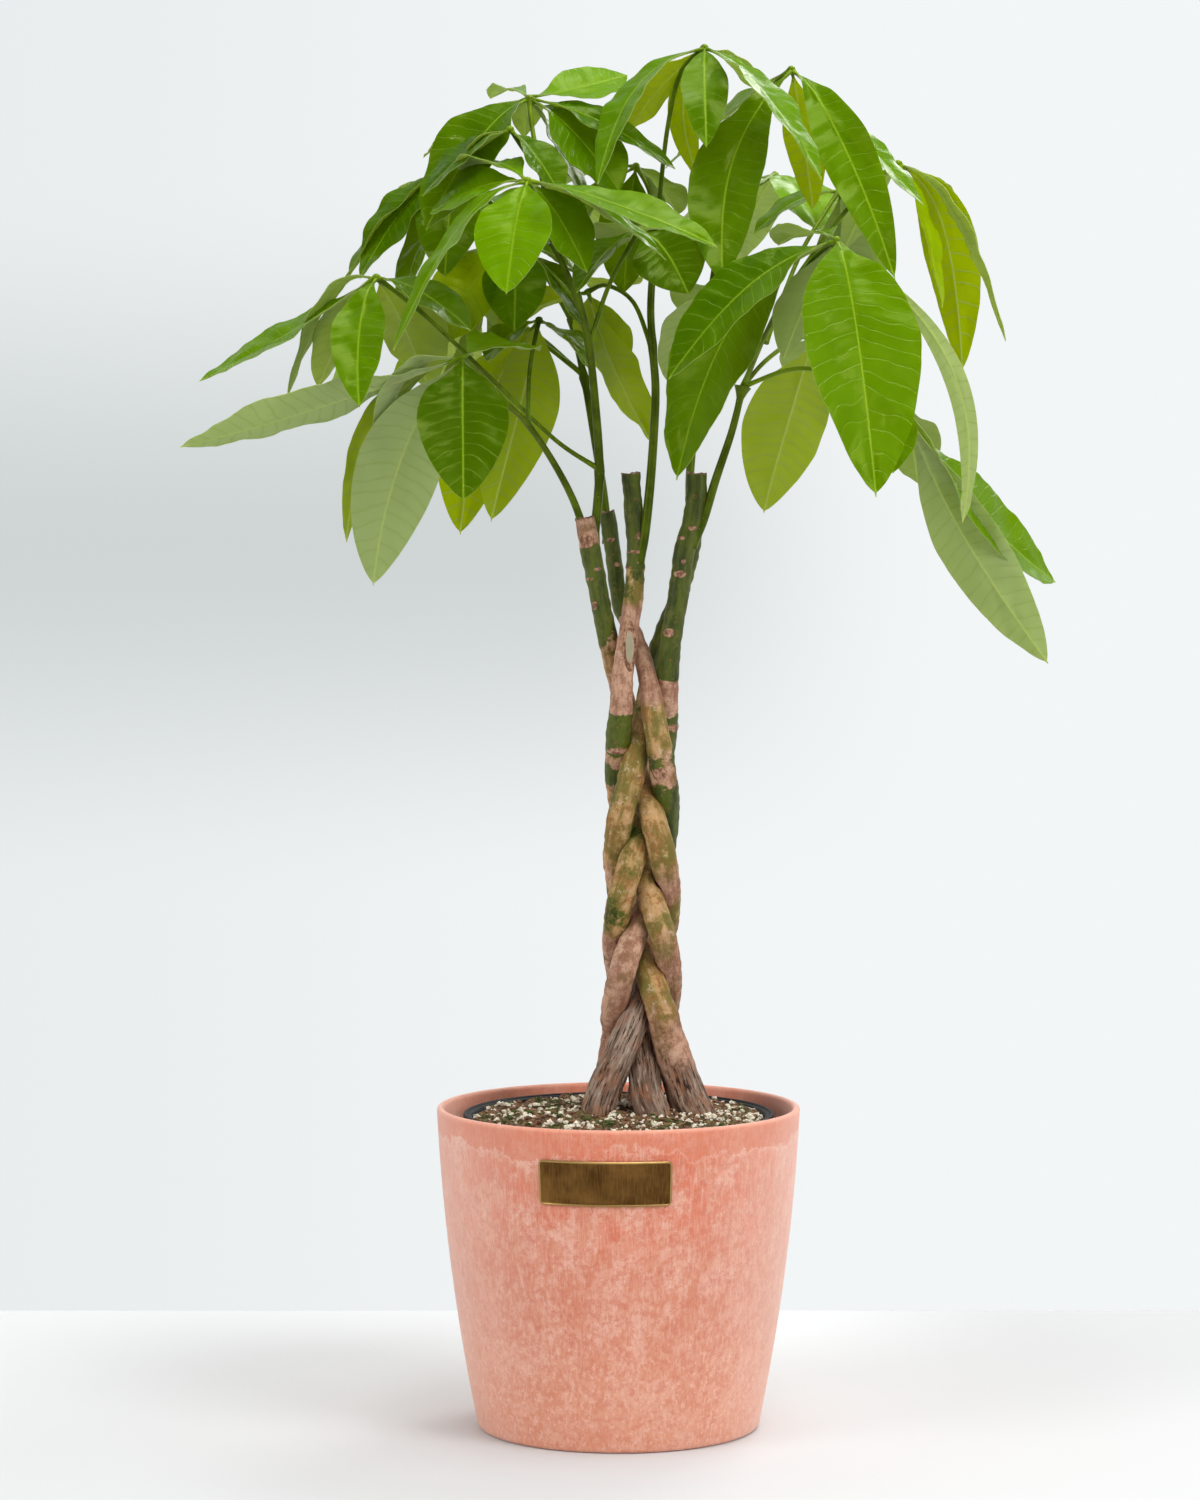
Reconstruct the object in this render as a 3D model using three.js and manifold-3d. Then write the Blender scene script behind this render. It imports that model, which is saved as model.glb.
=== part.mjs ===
// Potted money tree: five braided stems with leafy shoots, growing in a nursery pot
// that stands inside a tapered planter with a bare name plate.
// Units are millimetres, +Z is up. The origin is the centre of the planter's underside,
// and the name plate is on the -Y side.

import * as THREE from 'three';
import { mergeVertices } from 'three/addons/utils/BufferGeometryUtils.js';
import Module from 'manifold-3d';

const wasm = await Module();
wasm.setup();

// Driving dimensions
const CLEARANCE = 0.3;
const SLIVER = 0.05;

const PLANTER = {
  height: 220, rimRadius: 124.2, bellyRadius: 119, baseRadius: 96.2,
  wall: 5, floor: 8, foot: 6, segments: 44,
};
const NURSERY_POT = {
  rimRadius: 106.5, lip: 3, lipHeight: 9, topRadius: 102, baseRadius: 80,
  top: 215.5, wall: 1.6, drainHoles: 4, drainRadius: 6, drainCircle: 55, segments: 36,
};
const SOIL = { edge: 211.5, shoulder: 215, crown: 219 };
const PLATE = { width: 89, height: 30, middle: 184.5, bearing: -94.5, thickness: 1.6, corner: 3.5 };

// The braid: heights at which a stem comes forward in the middle, from the top down.
// Each stem runs out to one edge in front, and back to the middle behind.
const BRAID = {
  axisX: 16, axisY: -1, stems: 5,
  crossings: [600, 537, 475, 437, 409, 379, 350, 322, 294, 266, 238, 210],
  halfWidth: { low: 19, high: 16.5 }, halfDepth: { low: 20, high: 18 },
  low: 262, high: 440, step: 12.5, sides: 8,
};

// first: the crossing where the stem first comes forward; side: the way it then goes, +1 to +X.
// top and foot are points from the cut top down to the braid, and from the braid down.
const TRUNKS = [
  {
    name: 'trunk_middle', first: 1, side: -1, radii: { foot: 10.5, braid: 9, top: 6.4 }, from: 500,
    top: [[8, -6, 652], [10, -6, 628], [12, -6, 604], [11, -7, 578], [8, -10, 550], [4, -14, 525]],
    foot: [[18, 16, 228], [12, 18, 205], [8, 20, 178], [6, 22, 150]],
  },
  {
    name: 'trunk_back_left', first: 2, side: 1, radii: { foot: 10, braid: 9, top: 5.6 }, from: 505,
    top: [[-8, 22, 626], [-5, 21, 606], [-2, 20, 585], [2, 18, 560], [10, 8, 543], [17, -2, 525]],
    foot: [[-8, 18, 228], [-14, 24, 200], [-18, 28, 150]],
  },
  {
    name: 'trunk_back_right', first: 3, side: -1, radii: { foot: 13.8, braid: 9, top: 6 }, from: 520,
    top: [[53, 25, 628], [50, 24, 600], [42, 22, 570], [32, 19, 545]],
    foot: [[46, -12, 229], [54, -13, 211], [61, -12, 180], [65, -12, 150]],
  },
  {
    name: 'trunk_left', first: 4, side: 1, radii: { foot: 11.7, braid: 9, top: 6.8 }, from: 495,
    top: [[-23, -12, 622], [-19, -12, 600], [-15, -11, 578], [-10, -6, 553], [-5, 4, 530], [0, 12, 512]],
    foot: [[-10, -20, 232], [-15, -20, 212], [-20, -20, 182], [-23, -18, 150]],
  },
  {
    name: 'trunk_right', first: 5, side: -1, radii: { foot: 11, braid: 9, top: 7 }, from: 485,
    top: [[53, -8, 652], [51.5, -8, 624], [45, -10, 602], [42, -12, 580], [38, -14, 555], [35, -12, 532],
      [33, -5, 508]],
    foot: [[17, -17, 242], [20, -23, 227], [26, -27, 211], [31, -28, 180], [33, -26, 150]],
  },
];

// Leaves: the hub where the leaflets meet, the points of its stalk from the shoot to the hub,
// and for each leaflet: reach in X, Y and Z from hub to tip, width, arch, roll in degrees and,
// where the blade bends sideways, by how much.
const LEAFLET = { thickness: 0.9, fold: 0.2, root: 1.1, seat: 2.6, stalk: 1.7, knob: 4.2, widest: 0.574 };
const STATIONS = { long: [0, 0.1, 0.32, 0.6, 0.86, 1], short: [0, 0.13, 0.45, 0.82, 1], split: 100 };

const SHOOTS = [
  {
    name: 'shoot_front_left', radius: 2.8,
    stem: [[-20, -12, 603], [-31, -17, 634], [-46, -25, 662], [-62, -35, 685], [-75, -42, 697]],
    leaves: [
      {
        stalk: [[-75, -42, 697], [-92, -66, 716]], hub: [-103, -86, 727],
        leaflets: [
          [-188, 18, -59, 46, -8, -30], [2, -50, -95, 60, 22, 0], [-61, 34, -151, 56, 15, -60, -22],
          [45, 62, 8, 50, 10, -15], [-54, 40, -61, 32, 36, 0, -32], [-81, 72, -122, 22, 36, -20, -38],
        ],
      },
      {
        stalk: [[-61, -34, 685], [-60, -12, 722]], hub: [-54, 6, 756],
        leaflets: [
          [-34, 46, -137, 54, 36, -30, 8], [-56, 66, -146, 56, 20, -30, -20], [-34, -30, -30, 42, 12, 0],
          [34, -16, -34, 44, 12, 0],
        ],
      },
    ],
  },
  {
    name: 'shoot_left', radius: 3.3,
    stem: [[-17, -8, 604], [-14, -8, 634], [-13, -10, 656], [-15, -18, 689], [-20, -28, 737], [-27, -38, 765],
      [-44, -50, 805]],
    leaves: [
      {
        stalk: [[-44, -50, 805], [-53, -70, 826]], hub: [-60, -95, 842],
        leaflets: [
          [-13, -45, -77, 52, 18, 0], [-87, -20, -112, 23, 50, 20], [123, -34, -46, 33, 10, -32],
          [39, -8, -61, 41, 12, -40], [91, 22, -51, 46, 15, -20], [-44, 52, 8, 44, 18, 0],
          [-65, 30, -20, 40, 12, 40],
        ],
      },
      {
        stalk: [[-44, -50, 805], [-52, -48, 850], [-58, -38, 882]], hub: [-60, -30, 902],
        leaflets: [
          [-28, 85, 8, 22, 12, 0], [66, 50, 20, 36, -2, -35], [-73, 54, -35, 42, 10, 20],
          [-68, -25, -90, 54, 30, 35], [61, 8, -63, 62, 16, -50], [-5, 80, -19, 22, 10, 0],
          [98, 18, -46, 30, 14, -40], [38, 18, -72, 46, 12, -40],
        ],
      },
      {
        stalk: [[-52, -48, 850], [-64, -58, 866]], hub: [-72, -64, 878],
        leaflets: [[34, -4, -46, 36, 10, -30], [-28, 22, -22, 34, 8, 20], [-58, 4, -44, 38, 12, 25]],
      },
      {
        stalk: [[-13, -10, 654], [-43, -17, 674], [-82, -30, 711], [-126, -48, 753]], hub: [-161, -60, 781],
        leaflets: [
          [-118, 5, -69, 38, -7, 24], [-61, 20, -80, 26, 52, 0], [-42, 45, -72, 38, 16, 0],
          [-8, -58, -88, 36, 20, 0, 12], [63, -25, -37, 38, 14, -20], [33, 50, -73, 56, 12, 0],
        ],
      },
      {
        stalk: [[-20, -28, 737], [-6, -34, 778]], hub: [14, -40, 814],
        leaflets: [
          [32, -24, -45, 52, 14, -50], [-42, -26, -44, 46, 14, 0], [44, 26, -10, 44, 10, 0],
          [-20, 34, -12, 44, 10, 0],
        ],
      },
      {
        stalk: [[-27, -38, 765], [-50, -18, 790]], hub: [-68, -12, 806],
        leaflets: [
          [-64, 4, -74, 54, 16, 62], [-2, -20, -60, 44, 14, 0], [48, 2, -66, 46, 14, -20],
          [-46, 50, -18, 40, 14, 20], [-10, 56, -60, 48, 10, 0], [44, 30, -24, 38, 10, -30],
        ],
      },
    ],
  },
  {
    name: 'shoot_back_left', radius: 3.2,
    stem: [[-7, 24, 604], [-10, 30, 636], [-15, 38, 668], [-24, 60, 720], [-33, 82, 760]],
    leaves: [
      {
        stalk: [[-33, 82, 760], [-70, 60, 820]], hub: [-112, 28, 858],
        leaflets: [
          [-64, -14, -74, 46, 25, 25], [-80, 15, -81, 46, 25, 15], [-5, -48, -75, 44, 15, 0],
          [-32, 90, -34, 48, 12, 0], [-38, -6, -94, 42, 18, 20],
        ],
      },
      {
        stalk: [[-24, 60, 720], [-60, 96, 752], [-100, 124, 774]], hub: [-128, 138, 784],
        facing: 140, tilt: 34, count: 5, length: 118, width: 46,
      },
      {
        stalk: [[-24, 60, 720], [-60, 62, 748]], hub: [-92, 62, 768],
        leaflets: [
          [-30, 26, -100, 48, 14, 20], [24, 28, -98, 46, 14, -10], [-66, 8, -62, 46, 14, 30],
          [34, 30, -64, 44, 12, -20],
        ],
      },
      {
        stalk: [[-33, 82, 760], [-40, 128, 822], [-44, 148, 846]], hub: [-46, 160, 858],
        facing: 105, tilt: 26, count: 5, length: 112, width: 48,
      },
    ],
  },
  {
    name: 'shoot_middle', radius: 3.4,
    stem: [[13, -8, 590], [17, -10, 606], [21, -9, 640], [24, -7, 681], [25, -4, 710], [23, 0, 738],
      [22, 4, 771], [27, 8, 830]],
    leaves: [
      {
        stalk: [[27, 8, 830], [33, 5, 884], [42, 2, 922]], hub: [58, 0, 939],
        leaflets: [
          [0, -50, -72, 32, 22, 0], [-72, -72, -98, 28, 36, 0, 28], [-56, 35, -59, 36, 12, -10],
          [75, -82, -96, 38, 30, 8], [35, 12, -28, 30, 8, 0], [-3, 50, -84, 21, 15, 0, -26],
        ],
      },
      {
        stalk: [[22, 2, 738], [10, 12, 768], [-8, 24, 780]], hub: [-21, 30, 776],
        leaflets: [
          [44, 35, -102, 46, 6, 0, -14], [31, 66, 9, 40, 8, 0], [18, 58, -62, 42, 14, 0],
          [-66, -10, -31, 40, 12, -25],
        ],
      },
      {
        stalk: [[25, 6, 800], [22, 20, 840]], hub: [12, 30, 862],
        leaflets: [
          [-46, 0, -52, 42, 14, 25], [-8, -12, -88, 46, 14, 0], [34, 10, -72, 44, 14, -20],
          [-56, 40, -14, 42, 10, 20], [30, 46, -30, 42, 10, -20],
        ],
      },
    ],
  },
  {
    name: 'shoot_back_right', radius: 3.2,
    stem: [[52, 28, 606], [49, 34, 640], [51, 40, 672], [56, 48, 720], [62, 56, 764], [70, 50, 816]],
    leaves: [
      {
        stalk: [[70, 50, 816], [86, 34, 872], [102, 14, 910]], hub: [117, 5, 925],
        leaflets: [
          [66, -66, -146, 36, 45, -50], [87, -36, -95, 30, 2, -10], [-48, -82, -150, 51, 12, 10, 34],
          [17, 44, -92, 30, 14, 0], [-84, 84, -60, 34, 8, 35],
        ],
      },
      {
        stalk: [[56, 48, 720], [60, 44, 758]], hub: [66, 40, 781],
        leaflets: [
          [-32, 30, -65, 44, 12, 0], [22, 44, -50, 40, 12, 0], [-14, 62, -20, 44, 12, 0],
        ],
      },
      {
        stalk: [[70, 50, 816], [88, 100, 846], [104, 134, 860]], hub: [112, 150, 866],
        facing: 50, tilt: 30, count: 5, length: 104, width: 48,
      },
    ],
  },
  {
    name: 'shoot_right', radius: 3.4,
    stem: [[49, -11, 602], [57, -10, 619], [66, -9, 648], [77, -8, 681], [84, -6, 710]],
    leaves: [
      {
        stalk: [[84, -6, 710], [98, -40, 744], [122, -88, 784]], hub: [141, -115, 802],
        leaflets: [
          [22, -70, -168, 80, 58, 0], [-109, -8, -91, 50, 24, 40, 8], [-103, 35, -156, 74, 25, 60, 50],
          [84, 15, -184, 15, -20, 80, 72], [-34, 90, 2, 40, 14, 0], [-32, 55, -75, 40, 8, 0],
        ],
      },
      {
        stalk: [[84, -6, 710], [100, 10, 728], [122, 40, 744]], hub: [136, 55, 746],
        leaflets: [
          [-34, 34, -121, 60, 20, -30], [50, 62, -62, 50, 18, 0], [4, 96, -40, 50, 14, 0],
        ],
      },
      {
        stalk: [[84, -6, 710], [120, -10, 722], [160, -16, 716]], hub: [189, -20, 701],
        leaflets: [
          [104, 25, -179, 46, 0, 60, -12], [113, 66, -124, 62, -20, -50, 10], [-6, -26, -50, 30, 8, 0],
          [20, 90, -56, 40, 10, 0],
        ],
      },
      {
        stalk: [[84, -6, 710], [112, 14, 770], [150, 18, 824], [174, 14, 850]], hub: [190, 10, 862],
        leaflets: [
          [42, 50, -23, 24, 4, -15], [27, -40, -100, 28, 25, 30, -10], [47, 35, -140, 40, 50, 30, 18],
          [73, -5, -121, 17, 52, 20], [-34, 70, -56, 24, 10, 0],
        ],
      },
      {
        stalk: [[100, 4, 740], [124, 44, 800], [144, 66, 834]], hub: [154, 75, 849],
        leaflets: [
          [-60, -5, -31, 30, 14, 20], [24, 60, -80, 42, 14, 0], [6, 44, -112, 44, 16, 0],
        ],
      },
    ],
  },
];

// Helpers
const vec = (p) => new THREE.Vector3(p[0], p[1], p[2]);
const UP = new THREE.Vector3(0, 0, 1);

function geometryOf(points, triangles) {
  const geometry = new THREE.BufferGeometry();
  geometry.setAttribute('position', new THREE.Float32BufferAttribute(points.flatMap((p) => p.toArray()), 3));
  geometry.setIndex(triangles.flat());
  return geometry;
}

function solid(geometry) {
  const bare = geometry.clone();
  bare.deleteAttribute('normal');
  bare.deleteAttribute('uv');
  const merged = mergeVertices(bare, 1e-4);
  const triVerts = Uint32Array.from(merged.index.array);
  const vertProperties = Float32Array.from(merged.attributes.position.array);
  return new wasm.Manifold(new wasm.Mesh({ numProp: 3, vertProperties, triVerts }));
}

function geometryFrom(body) {
  const mesh = body.getMesh();
  const geometry = new THREE.BufferGeometry();
  geometry.setAttribute('position', new THREE.BufferAttribute(Float32Array.from(mesh.vertProperties), 3));
  geometry.setIndex(new THREE.BufferAttribute(Uint32Array.from(mesh.triVerts), 1));
  return geometry;
}

// The largest body of a cut, without loose scraps and the slivers along the cut.
function mainBody(body) {
  return body.decompose().sort((a, b) => b.volume() - a.volume())[0].asOriginal().simplify(SLIVER);
}

// A closed tube along points with a radius at each, its ends capped.
function tube(points, radii, sides) {
  const rings = [];
  const tangents = points.map((_, i) => {
    const before = points[Math.max(i - 1, 0)];
    const after = points[Math.min(i + 1, points.length - 1)];
    return after.clone().sub(before).normalize();
  });
  let across = Math.abs(tangents[0].x) > 0.8 ? new THREE.Vector3(0, 1, 0) : new THREE.Vector3(1, 0, 0);
  points.forEach((centre, i) => {
    across = across.clone().addScaledVector(tangents[i], -across.dot(tangents[i])).normalize();
    const along = tangents[i].clone().cross(across);
    for (let j = 0; j < sides; j += 1) {
      const angle = (2 * Math.PI * j) / sides;
      const spoke = across.clone().multiplyScalar(Math.cos(angle)).addScaledVector(along, Math.sin(angle));
      rings.push(centre.clone().addScaledVector(spoke, radii[i]));
    }
  });
  return geometryOf([...rings, points[0], points[points.length - 1]], tubeTriangles(points.length, sides));
}

function tubeTriangles(rings, sides) {
  const triangles = [];
  const first = rings * sides;
  for (let i = 0; i < rings - 1; i += 1) {
    for (let j = 0; j < sides; j += 1) {
      const a = i * sides + j;
      const b = i * sides + ((j + 1) % sides);
      triangles.push([a, b, b + sides], [a, b + sides, a + sides]);
    }
  }
  for (let j = 0; j < sides; j += 1) {
    const next = (j + 1) % sides;
    triangles.push([first, next, j]);
    triangles.push([first + 1, (rings - 1) * sides + j, (rings - 1) * sides + next]);
  }
  return triangles;
}

// Planter, nursery pot, soil and plate
function turned(profile, segments) {
  const geometry = new THREE.LatheGeometry(profile.map(([r, z]) => new THREE.Vector2(r, z)), segments);
  return geometry.rotateX(Math.PI / 2);
}

function wallRadius(z) {
  const s = z / PLANTER.height;
  const { baseRadius, bellyRadius, rimRadius } = PLANTER;
  return (1 - s) ** 2 * baseRadius + 2 * s * (1 - s) * bellyRadius + s ** 2 * rimRadius;
}

function planter() {
  const { height, wall, floor, foot } = PLANTER;
  const profile = [[0, 0], [wallRadius(0) - foot, 0], [wallRadius(foot * 0.3) - foot * 0.3, foot * 0.3]];
  for (const z of [foot, 60, 115, 170, height - 2.5]) {
    profile.push([wallRadius(z), z]);
  }
  profile.push([wallRadius(height) - wall / 2, height], [wallRadius(height) - wall, height - 2.5]);
  for (const z of [115, floor + 4]) {
    profile.push([wallRadius(z) - wall, z]);
  }
  profile.push([wallRadius(floor) - wall - 5, floor], [0, floor]);
  return turned(profile, PLANTER.segments);
}

function potRadius(z) {
  const { topRadius, baseRadius, top } = NURSERY_POT;
  const bottom = PLANTER.floor + CLEARANCE;
  return baseRadius + ((topRadius - baseRadius) * (z - bottom)) / (top - bottom);
}

function nurseryPot() {
  const { rimRadius, lip, lipHeight, top, wall } = NURSERY_POT;
  const bottom = PLANTER.floor + CLEARANCE;
  const profile = [
    [0, bottom], [potRadius(bottom), bottom], [potRadius(top - lipHeight), top - lipHeight],
    [rimRadius - lip / 2, top - lipHeight + 1], [rimRadius, top - 1], [rimRadius - 1, top],
    [potRadius(top) - wall, top], [potRadius(bottom + wall) - wall, bottom + wall], [0, bottom + wall],
  ];
  return turned(profile, NURSERY_POT.segments);
}

function drainHoles() {
  const holes = [];
  for (let i = 0; i < NURSERY_POT.drainHoles; i += 1) {
    const angle = (2 * Math.PI * i) / NURSERY_POT.drainHoles;
    const hole = new THREE.CylinderGeometry(NURSERY_POT.drainRadius, NURSERY_POT.drainRadius, 8, 10);
    hole.rotateX(Math.PI / 2);
    hole.translate(
      NURSERY_POT.drainCircle * Math.cos(angle), NURSERY_POT.drainCircle * Math.sin(angle), PLANTER.floor,
    );
    holes.push(solid(hole));
  }
  return holes;
}

function soil() {
  const inside = (z) => potRadius(z) - NURSERY_POT.wall - CLEARANCE;
  const bottom = PLANTER.floor + NURSERY_POT.wall + 2 * CLEARANCE;
  const profile = [
    [0, bottom], [inside(bottom), bottom], [inside(SOIL.edge) - 0.5, SOIL.edge],
    [80, SOIL.shoulder], [45, SOIL.crown - 1.5], [0, SOIL.crown],
  ];
  return turned(profile, NURSERY_POT.segments);
}

// The plate is bent round the wall: columns of four corners, shorter at its rounded ends.
function plate() {
  const { width, height, middle, bearing, thickness, corner } = PLATE;
  const offsets = [0, 0.3, 1].map((s) => s * corner);
  const along = [...offsets, ...[0.2, 0.35, 0.5, 0.65, 0.8].map((s) => s * width),
    ...offsets.map((s) => width - s).reverse()];
  const corners = [];
  along.forEach((x) => {
    const fromEnd = Math.min(x, width - x, corner);
    const cut = corner - Math.sqrt(corner ** 2 - (corner - fromEnd) ** 2);
    const angle = THREE.MathUtils.degToRad(bearing) + (x - width / 2) / wallRadius(middle);
    for (const [side, lift] of [[1, 1], [-1, 1], [-1, 0], [1, 0]]) {
      const z = middle + side * (height / 2 - cut * 0.9);
      const r = wallRadius(z) + CLEARANCE + lift * thickness;
      corners.push(new THREE.Vector3(r * Math.cos(angle), r * Math.sin(angle), z));
    }
  });
  const triangles = [];
  for (let i = 0; i < along.length - 1; i += 1) {
    for (let j = 0; j < 4; j += 1) {
      const a = 4 * i + j;
      const b = 4 * i + ((j + 1) % 4);
      triangles.push([a, b, b + 4], [a, b + 4, a + 4]);
    }
  }
  const last = 4 * (along.length - 1);
  triangles.push([0, 2, 1], [0, 3, 2], [last, last + 1, last + 2], [last, last + 2, last + 3]);
  return geometryOf(corners, triangles);
}

// Stems of the braid
function crossingNumber(z) {
  const heights = BRAID.crossings;
  const i = Math.min(heights.findIndex((h, k) => k < heights.length - 1 && z >= heights[k + 1] && z <= h),
    heights.length - 2);
  return i + 1 + (heights[i] - z) / (heights[i] - heights[i + 1]);
}

function braidPoint(trunk, z) {
  const turn = ((crossingNumber(z) - trunk.first) * Math.PI) / BRAID.stems;
  const s = THREE.MathUtils.clamp((z - BRAID.low) / (BRAID.high - BRAID.low), 0, 1);
  const halfWidth = THREE.MathUtils.lerp(BRAID.halfWidth.low, BRAID.halfWidth.high, s);
  const halfDepth = THREE.MathUtils.lerp(BRAID.halfDepth.low, BRAID.halfDepth.high, s);
  return new THREE.Vector3(
    BRAID.axisX + trunk.side * halfWidth * Math.sin(turn), BRAID.axisY - halfDepth * Math.sin(2 * turn), z,
  );
}

function trunkPath(trunk) {
  const points = trunk.top.map(vec);
  for (let z = trunk.from; z > BRAID.low; z -= BRAID.step) {
    points.push(braidPoint(trunk, z));
  }
  return [...points, ...trunk.foot.map(vec)].reverse();
}

function trunkRadius(trunk, z) {
  const { foot, braid, top } = trunk.radii;
  const lower = THREE.MathUtils.smoothstep(z, 205, 330);
  const upper = THREE.MathUtils.smoothstep(z, 440, 560);
  return THREE.MathUtils.lerp(THREE.MathUtils.lerp(foot, braid, lower), top, upper);
}

function trunkSolid(trunk, grow) {
  const path = trunkPath(trunk);
  return solid(tube(path, path.map((p) => trunkRadius(trunk, p.z) + grow), BRAID.sides));
}

// Leaflets: a blade of three ribs on each face, folded along its midrib and arched from hub to tip.
// The blade widens slowly from its root to its widest place and then ends in a blunt tip.
function bladeWidth(s) {
  const swell = Math.sin(Math.PI * s ** 1.25);
  return s < LEAFLET.widest ? swell ** 1.15 : swell ** 0.7;
}

function leaflet(hub, [x, y, z, width, arch, roll, sway = 0]) {
  const reach = new THREE.Vector3(x, y, z);
  const tip = vec(hub).add(reach);
  const start = vec(hub).addScaledVector(reach, LEAFLET.seat / reach.length());
  const side = new THREE.Vector3(y, -x, 0).normalize();
  const rolled = THREE.MathUtils.degToRad(roll);
  const slant = side.clone().applyAxisAngle(reach.clone().normalize(), -rolled);
  const knee = start.clone().addScaledVector(reach, 0.45);
  knee.addScaledVector(UP, arch).addScaledVector(slant, sway);
  const midrib = new THREE.QuadraticBezierCurve3(start, knee, tip);
  const stations = reach.length() < STATIONS.split ? STATIONS.short : STATIONS.long;
  const corners = [];
  stations.forEach((s, k) => {
    const centre = midrib.getPoint(s);
    const along = midrib.getTangent(s);
    const level = side.clone().addScaledVector(along, -side.dot(along)).normalize();
    const face = level.clone().cross(along);
    const turn = rolled * THREE.MathUtils.smoothstep(s, 0, 0.4);
    const across = level.clone().multiplyScalar(Math.cos(turn)).addScaledVector(face, Math.sin(turn));
    const normal = face.clone().multiplyScalar(Math.cos(turn)).addScaledVector(level, -Math.sin(turn));
    const half = Math.max((width / 2) * bladeWidth(s), LEAFLET.root * (s < 0.5 ? 1 : 0.5));
    const wave = 0.07 * half * (k % 2 === 0 ? 1 : -1);
    const rise = LEAFLET.fold * half;
    const ribs = [[-half, rise + wave], [0, 0], [half, rise - wave]];
    for (const face2 of [1, -1]) {
      for (const [offset, lift] of ribs) {
        corners.push(centre.clone().addScaledVector(across, offset)
          .addScaledVector(normal, lift + (face2 * LEAFLET.thickness) / 2));
      }
    }
  });
  return geometryOf(corners, bladeTriangles(stations.length));
}

// Both faces are split along the same diagonals.
function bladeTriangles(stations) {
  const triangles = [];
  const quad = (a, b, c, d) => triangles.push([a, b, c], [a, c, d]);
  for (let k = 0; k < stations - 1; k += 1) {
    const near = 6 * k;
    const far = near + 6;
    for (const j of [0, 1]) {
      triangles.push([near + j, near + j + 1, far + j], [near + j + 1, far + j + 1, far + j]);
      triangles.push([near + j + 3, far + j + 3, near + j + 4], [near + j + 4, far + j + 3, far + j + 4]);
    }
    quad(near, far, far + 3, near + 3);
    quad(near + 2, near + 5, far + 5, far + 2);
  }
  const last = 6 * (stations - 1);
  quad(0, 3, 4, 1);
  quad(1, 4, 5, 2);
  quad(last, last + 1, last + 4, last + 3);
  quad(last + 1, last + 2, last + 5, last + 4);
  return triangles;
}

// A leaf at the back is a fan of leaflets spread evenly about the way it faces.
function fan({ facing, tilt, count, length, width }) {
  const rows = [];
  for (let i = 0; i < count; i += 1) {
    const offset = i - (count - 1) / 2;
    const bearing = THREE.MathUtils.degToRad(facing + (offset * 300) / count);
    const reach = length * (1 - 0.06 * Math.abs(offset));
    const drop = THREE.MathUtils.degToRad(tilt + 9 * (i % 2));
    rows.push([
      reach * Math.cos(drop) * Math.cos(bearing), reach * Math.cos(drop) * Math.sin(bearing),
      -reach * Math.sin(drop), width * (1 - 0.05 * Math.abs(offset)), 0.2 * reach, 0,
    ]);
  }
  return rows;
}

function leafParts(leaf) {
  const rows = leaf.leaflets ?? fan(leaf);
  const knob = new THREE.IcosahedronGeometry(LEAFLET.knob, 0);
  knob.translate(...leaf.hub);
  const route = [...leaf.stalk, leaf.hub].map(vec);
  const stalk = tube(route, route.map(() => LEAFLET.stalk), 5);
  return [solid(knob), solid(stalk), ...rows.map((row) => solid(leaflet(leaf.hub, row)))];
}

function shoot(plan) {
  const route = plan.stem.map(vec);
  const radii = route.map((_, i) => plan.radius * (1 - (0.35 * i) / (route.length - 1)));
  const parts = [solid(tube(route, radii, 6)), ...plan.leaves.flatMap(leafParts)];
  return wasm.Manifold.union(parts);
}

// Assembly
const COLOURS = {
  planter: 0xd9826b, pot: 0x1d1d1f, soil: 0x4a3a2c, plate: 0x5f4a22, trunk: 0x7c7f4a, leaf: 0x5c9a1c,
};
const material = (color, roughness, metalness = 0) => (
  new THREE.MeshStandardMaterial({ color, roughness, metalness, side: THREE.DoubleSide }));
const MATERIALS = {
  planter: material(COLOURS.planter, 0.6),
  pot: material(COLOURS.pot, 0.45),
  soil: material(COLOURS.soil, 0.95),
  plate: material(COLOURS.plate, 0.35, 0.9),
  trunk: material(COLOURS.trunk, 0.75),
  leaf: material(COLOURS.leaf, 0.4),
};

const tree = new THREE.Group();
tree.name = 'potted_money_tree';

function place(name, geometry, finish) {
  const mesh = new THREE.Mesh(geometry, MATERIALS[finish]);
  mesh.name = name;
  tree.add(mesh);
}

const trunks = TRUNKS.map((trunk, i) => {
  const neighbours = TRUNKS.slice(0, i).map((other) => trunkSolid(other, CLEARANCE));
  return mainBody(neighbours.reduce((body, other) => body.subtract(other), trunkSolid(trunk, 0)));
});
const sleeves = TRUNKS.map((trunk) => trunkSolid(trunk, CLEARANCE));

const cutPot = drainHoles().reduce((pot, hole) => pot.subtract(hole), solid(nurseryPot()));
const cutSoil = sleeves.reduce((body, hole) => body.subtract(hole), solid(soil()));

place('planter', planter(), 'planter');
place('name_plate', plate(), 'plate');
place('nursery_pot', geometryFrom(cutPot), 'pot');
place('soil', geometryFrom(mainBody(cutSoil)), 'soil');
TRUNKS.forEach((trunk, i) => place(trunk.name, geometryFrom(trunks[i]), 'trunk'));
SHOOTS.forEach((plan) => {
  const body = sleeves.reduce((rest, sleeve) => rest.subtract(sleeve), shoot(plan));
  place(plan.name, geometryFrom(mainBody(body)), 'leaf');
});

export default tree;
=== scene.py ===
# Potted money tree: the finished look of each solid piece, in metres, in the solid model's frame.
# The origin is the centre of the planter's underside, +Z is up and the plate faces -Y.
import math
import random

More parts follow.
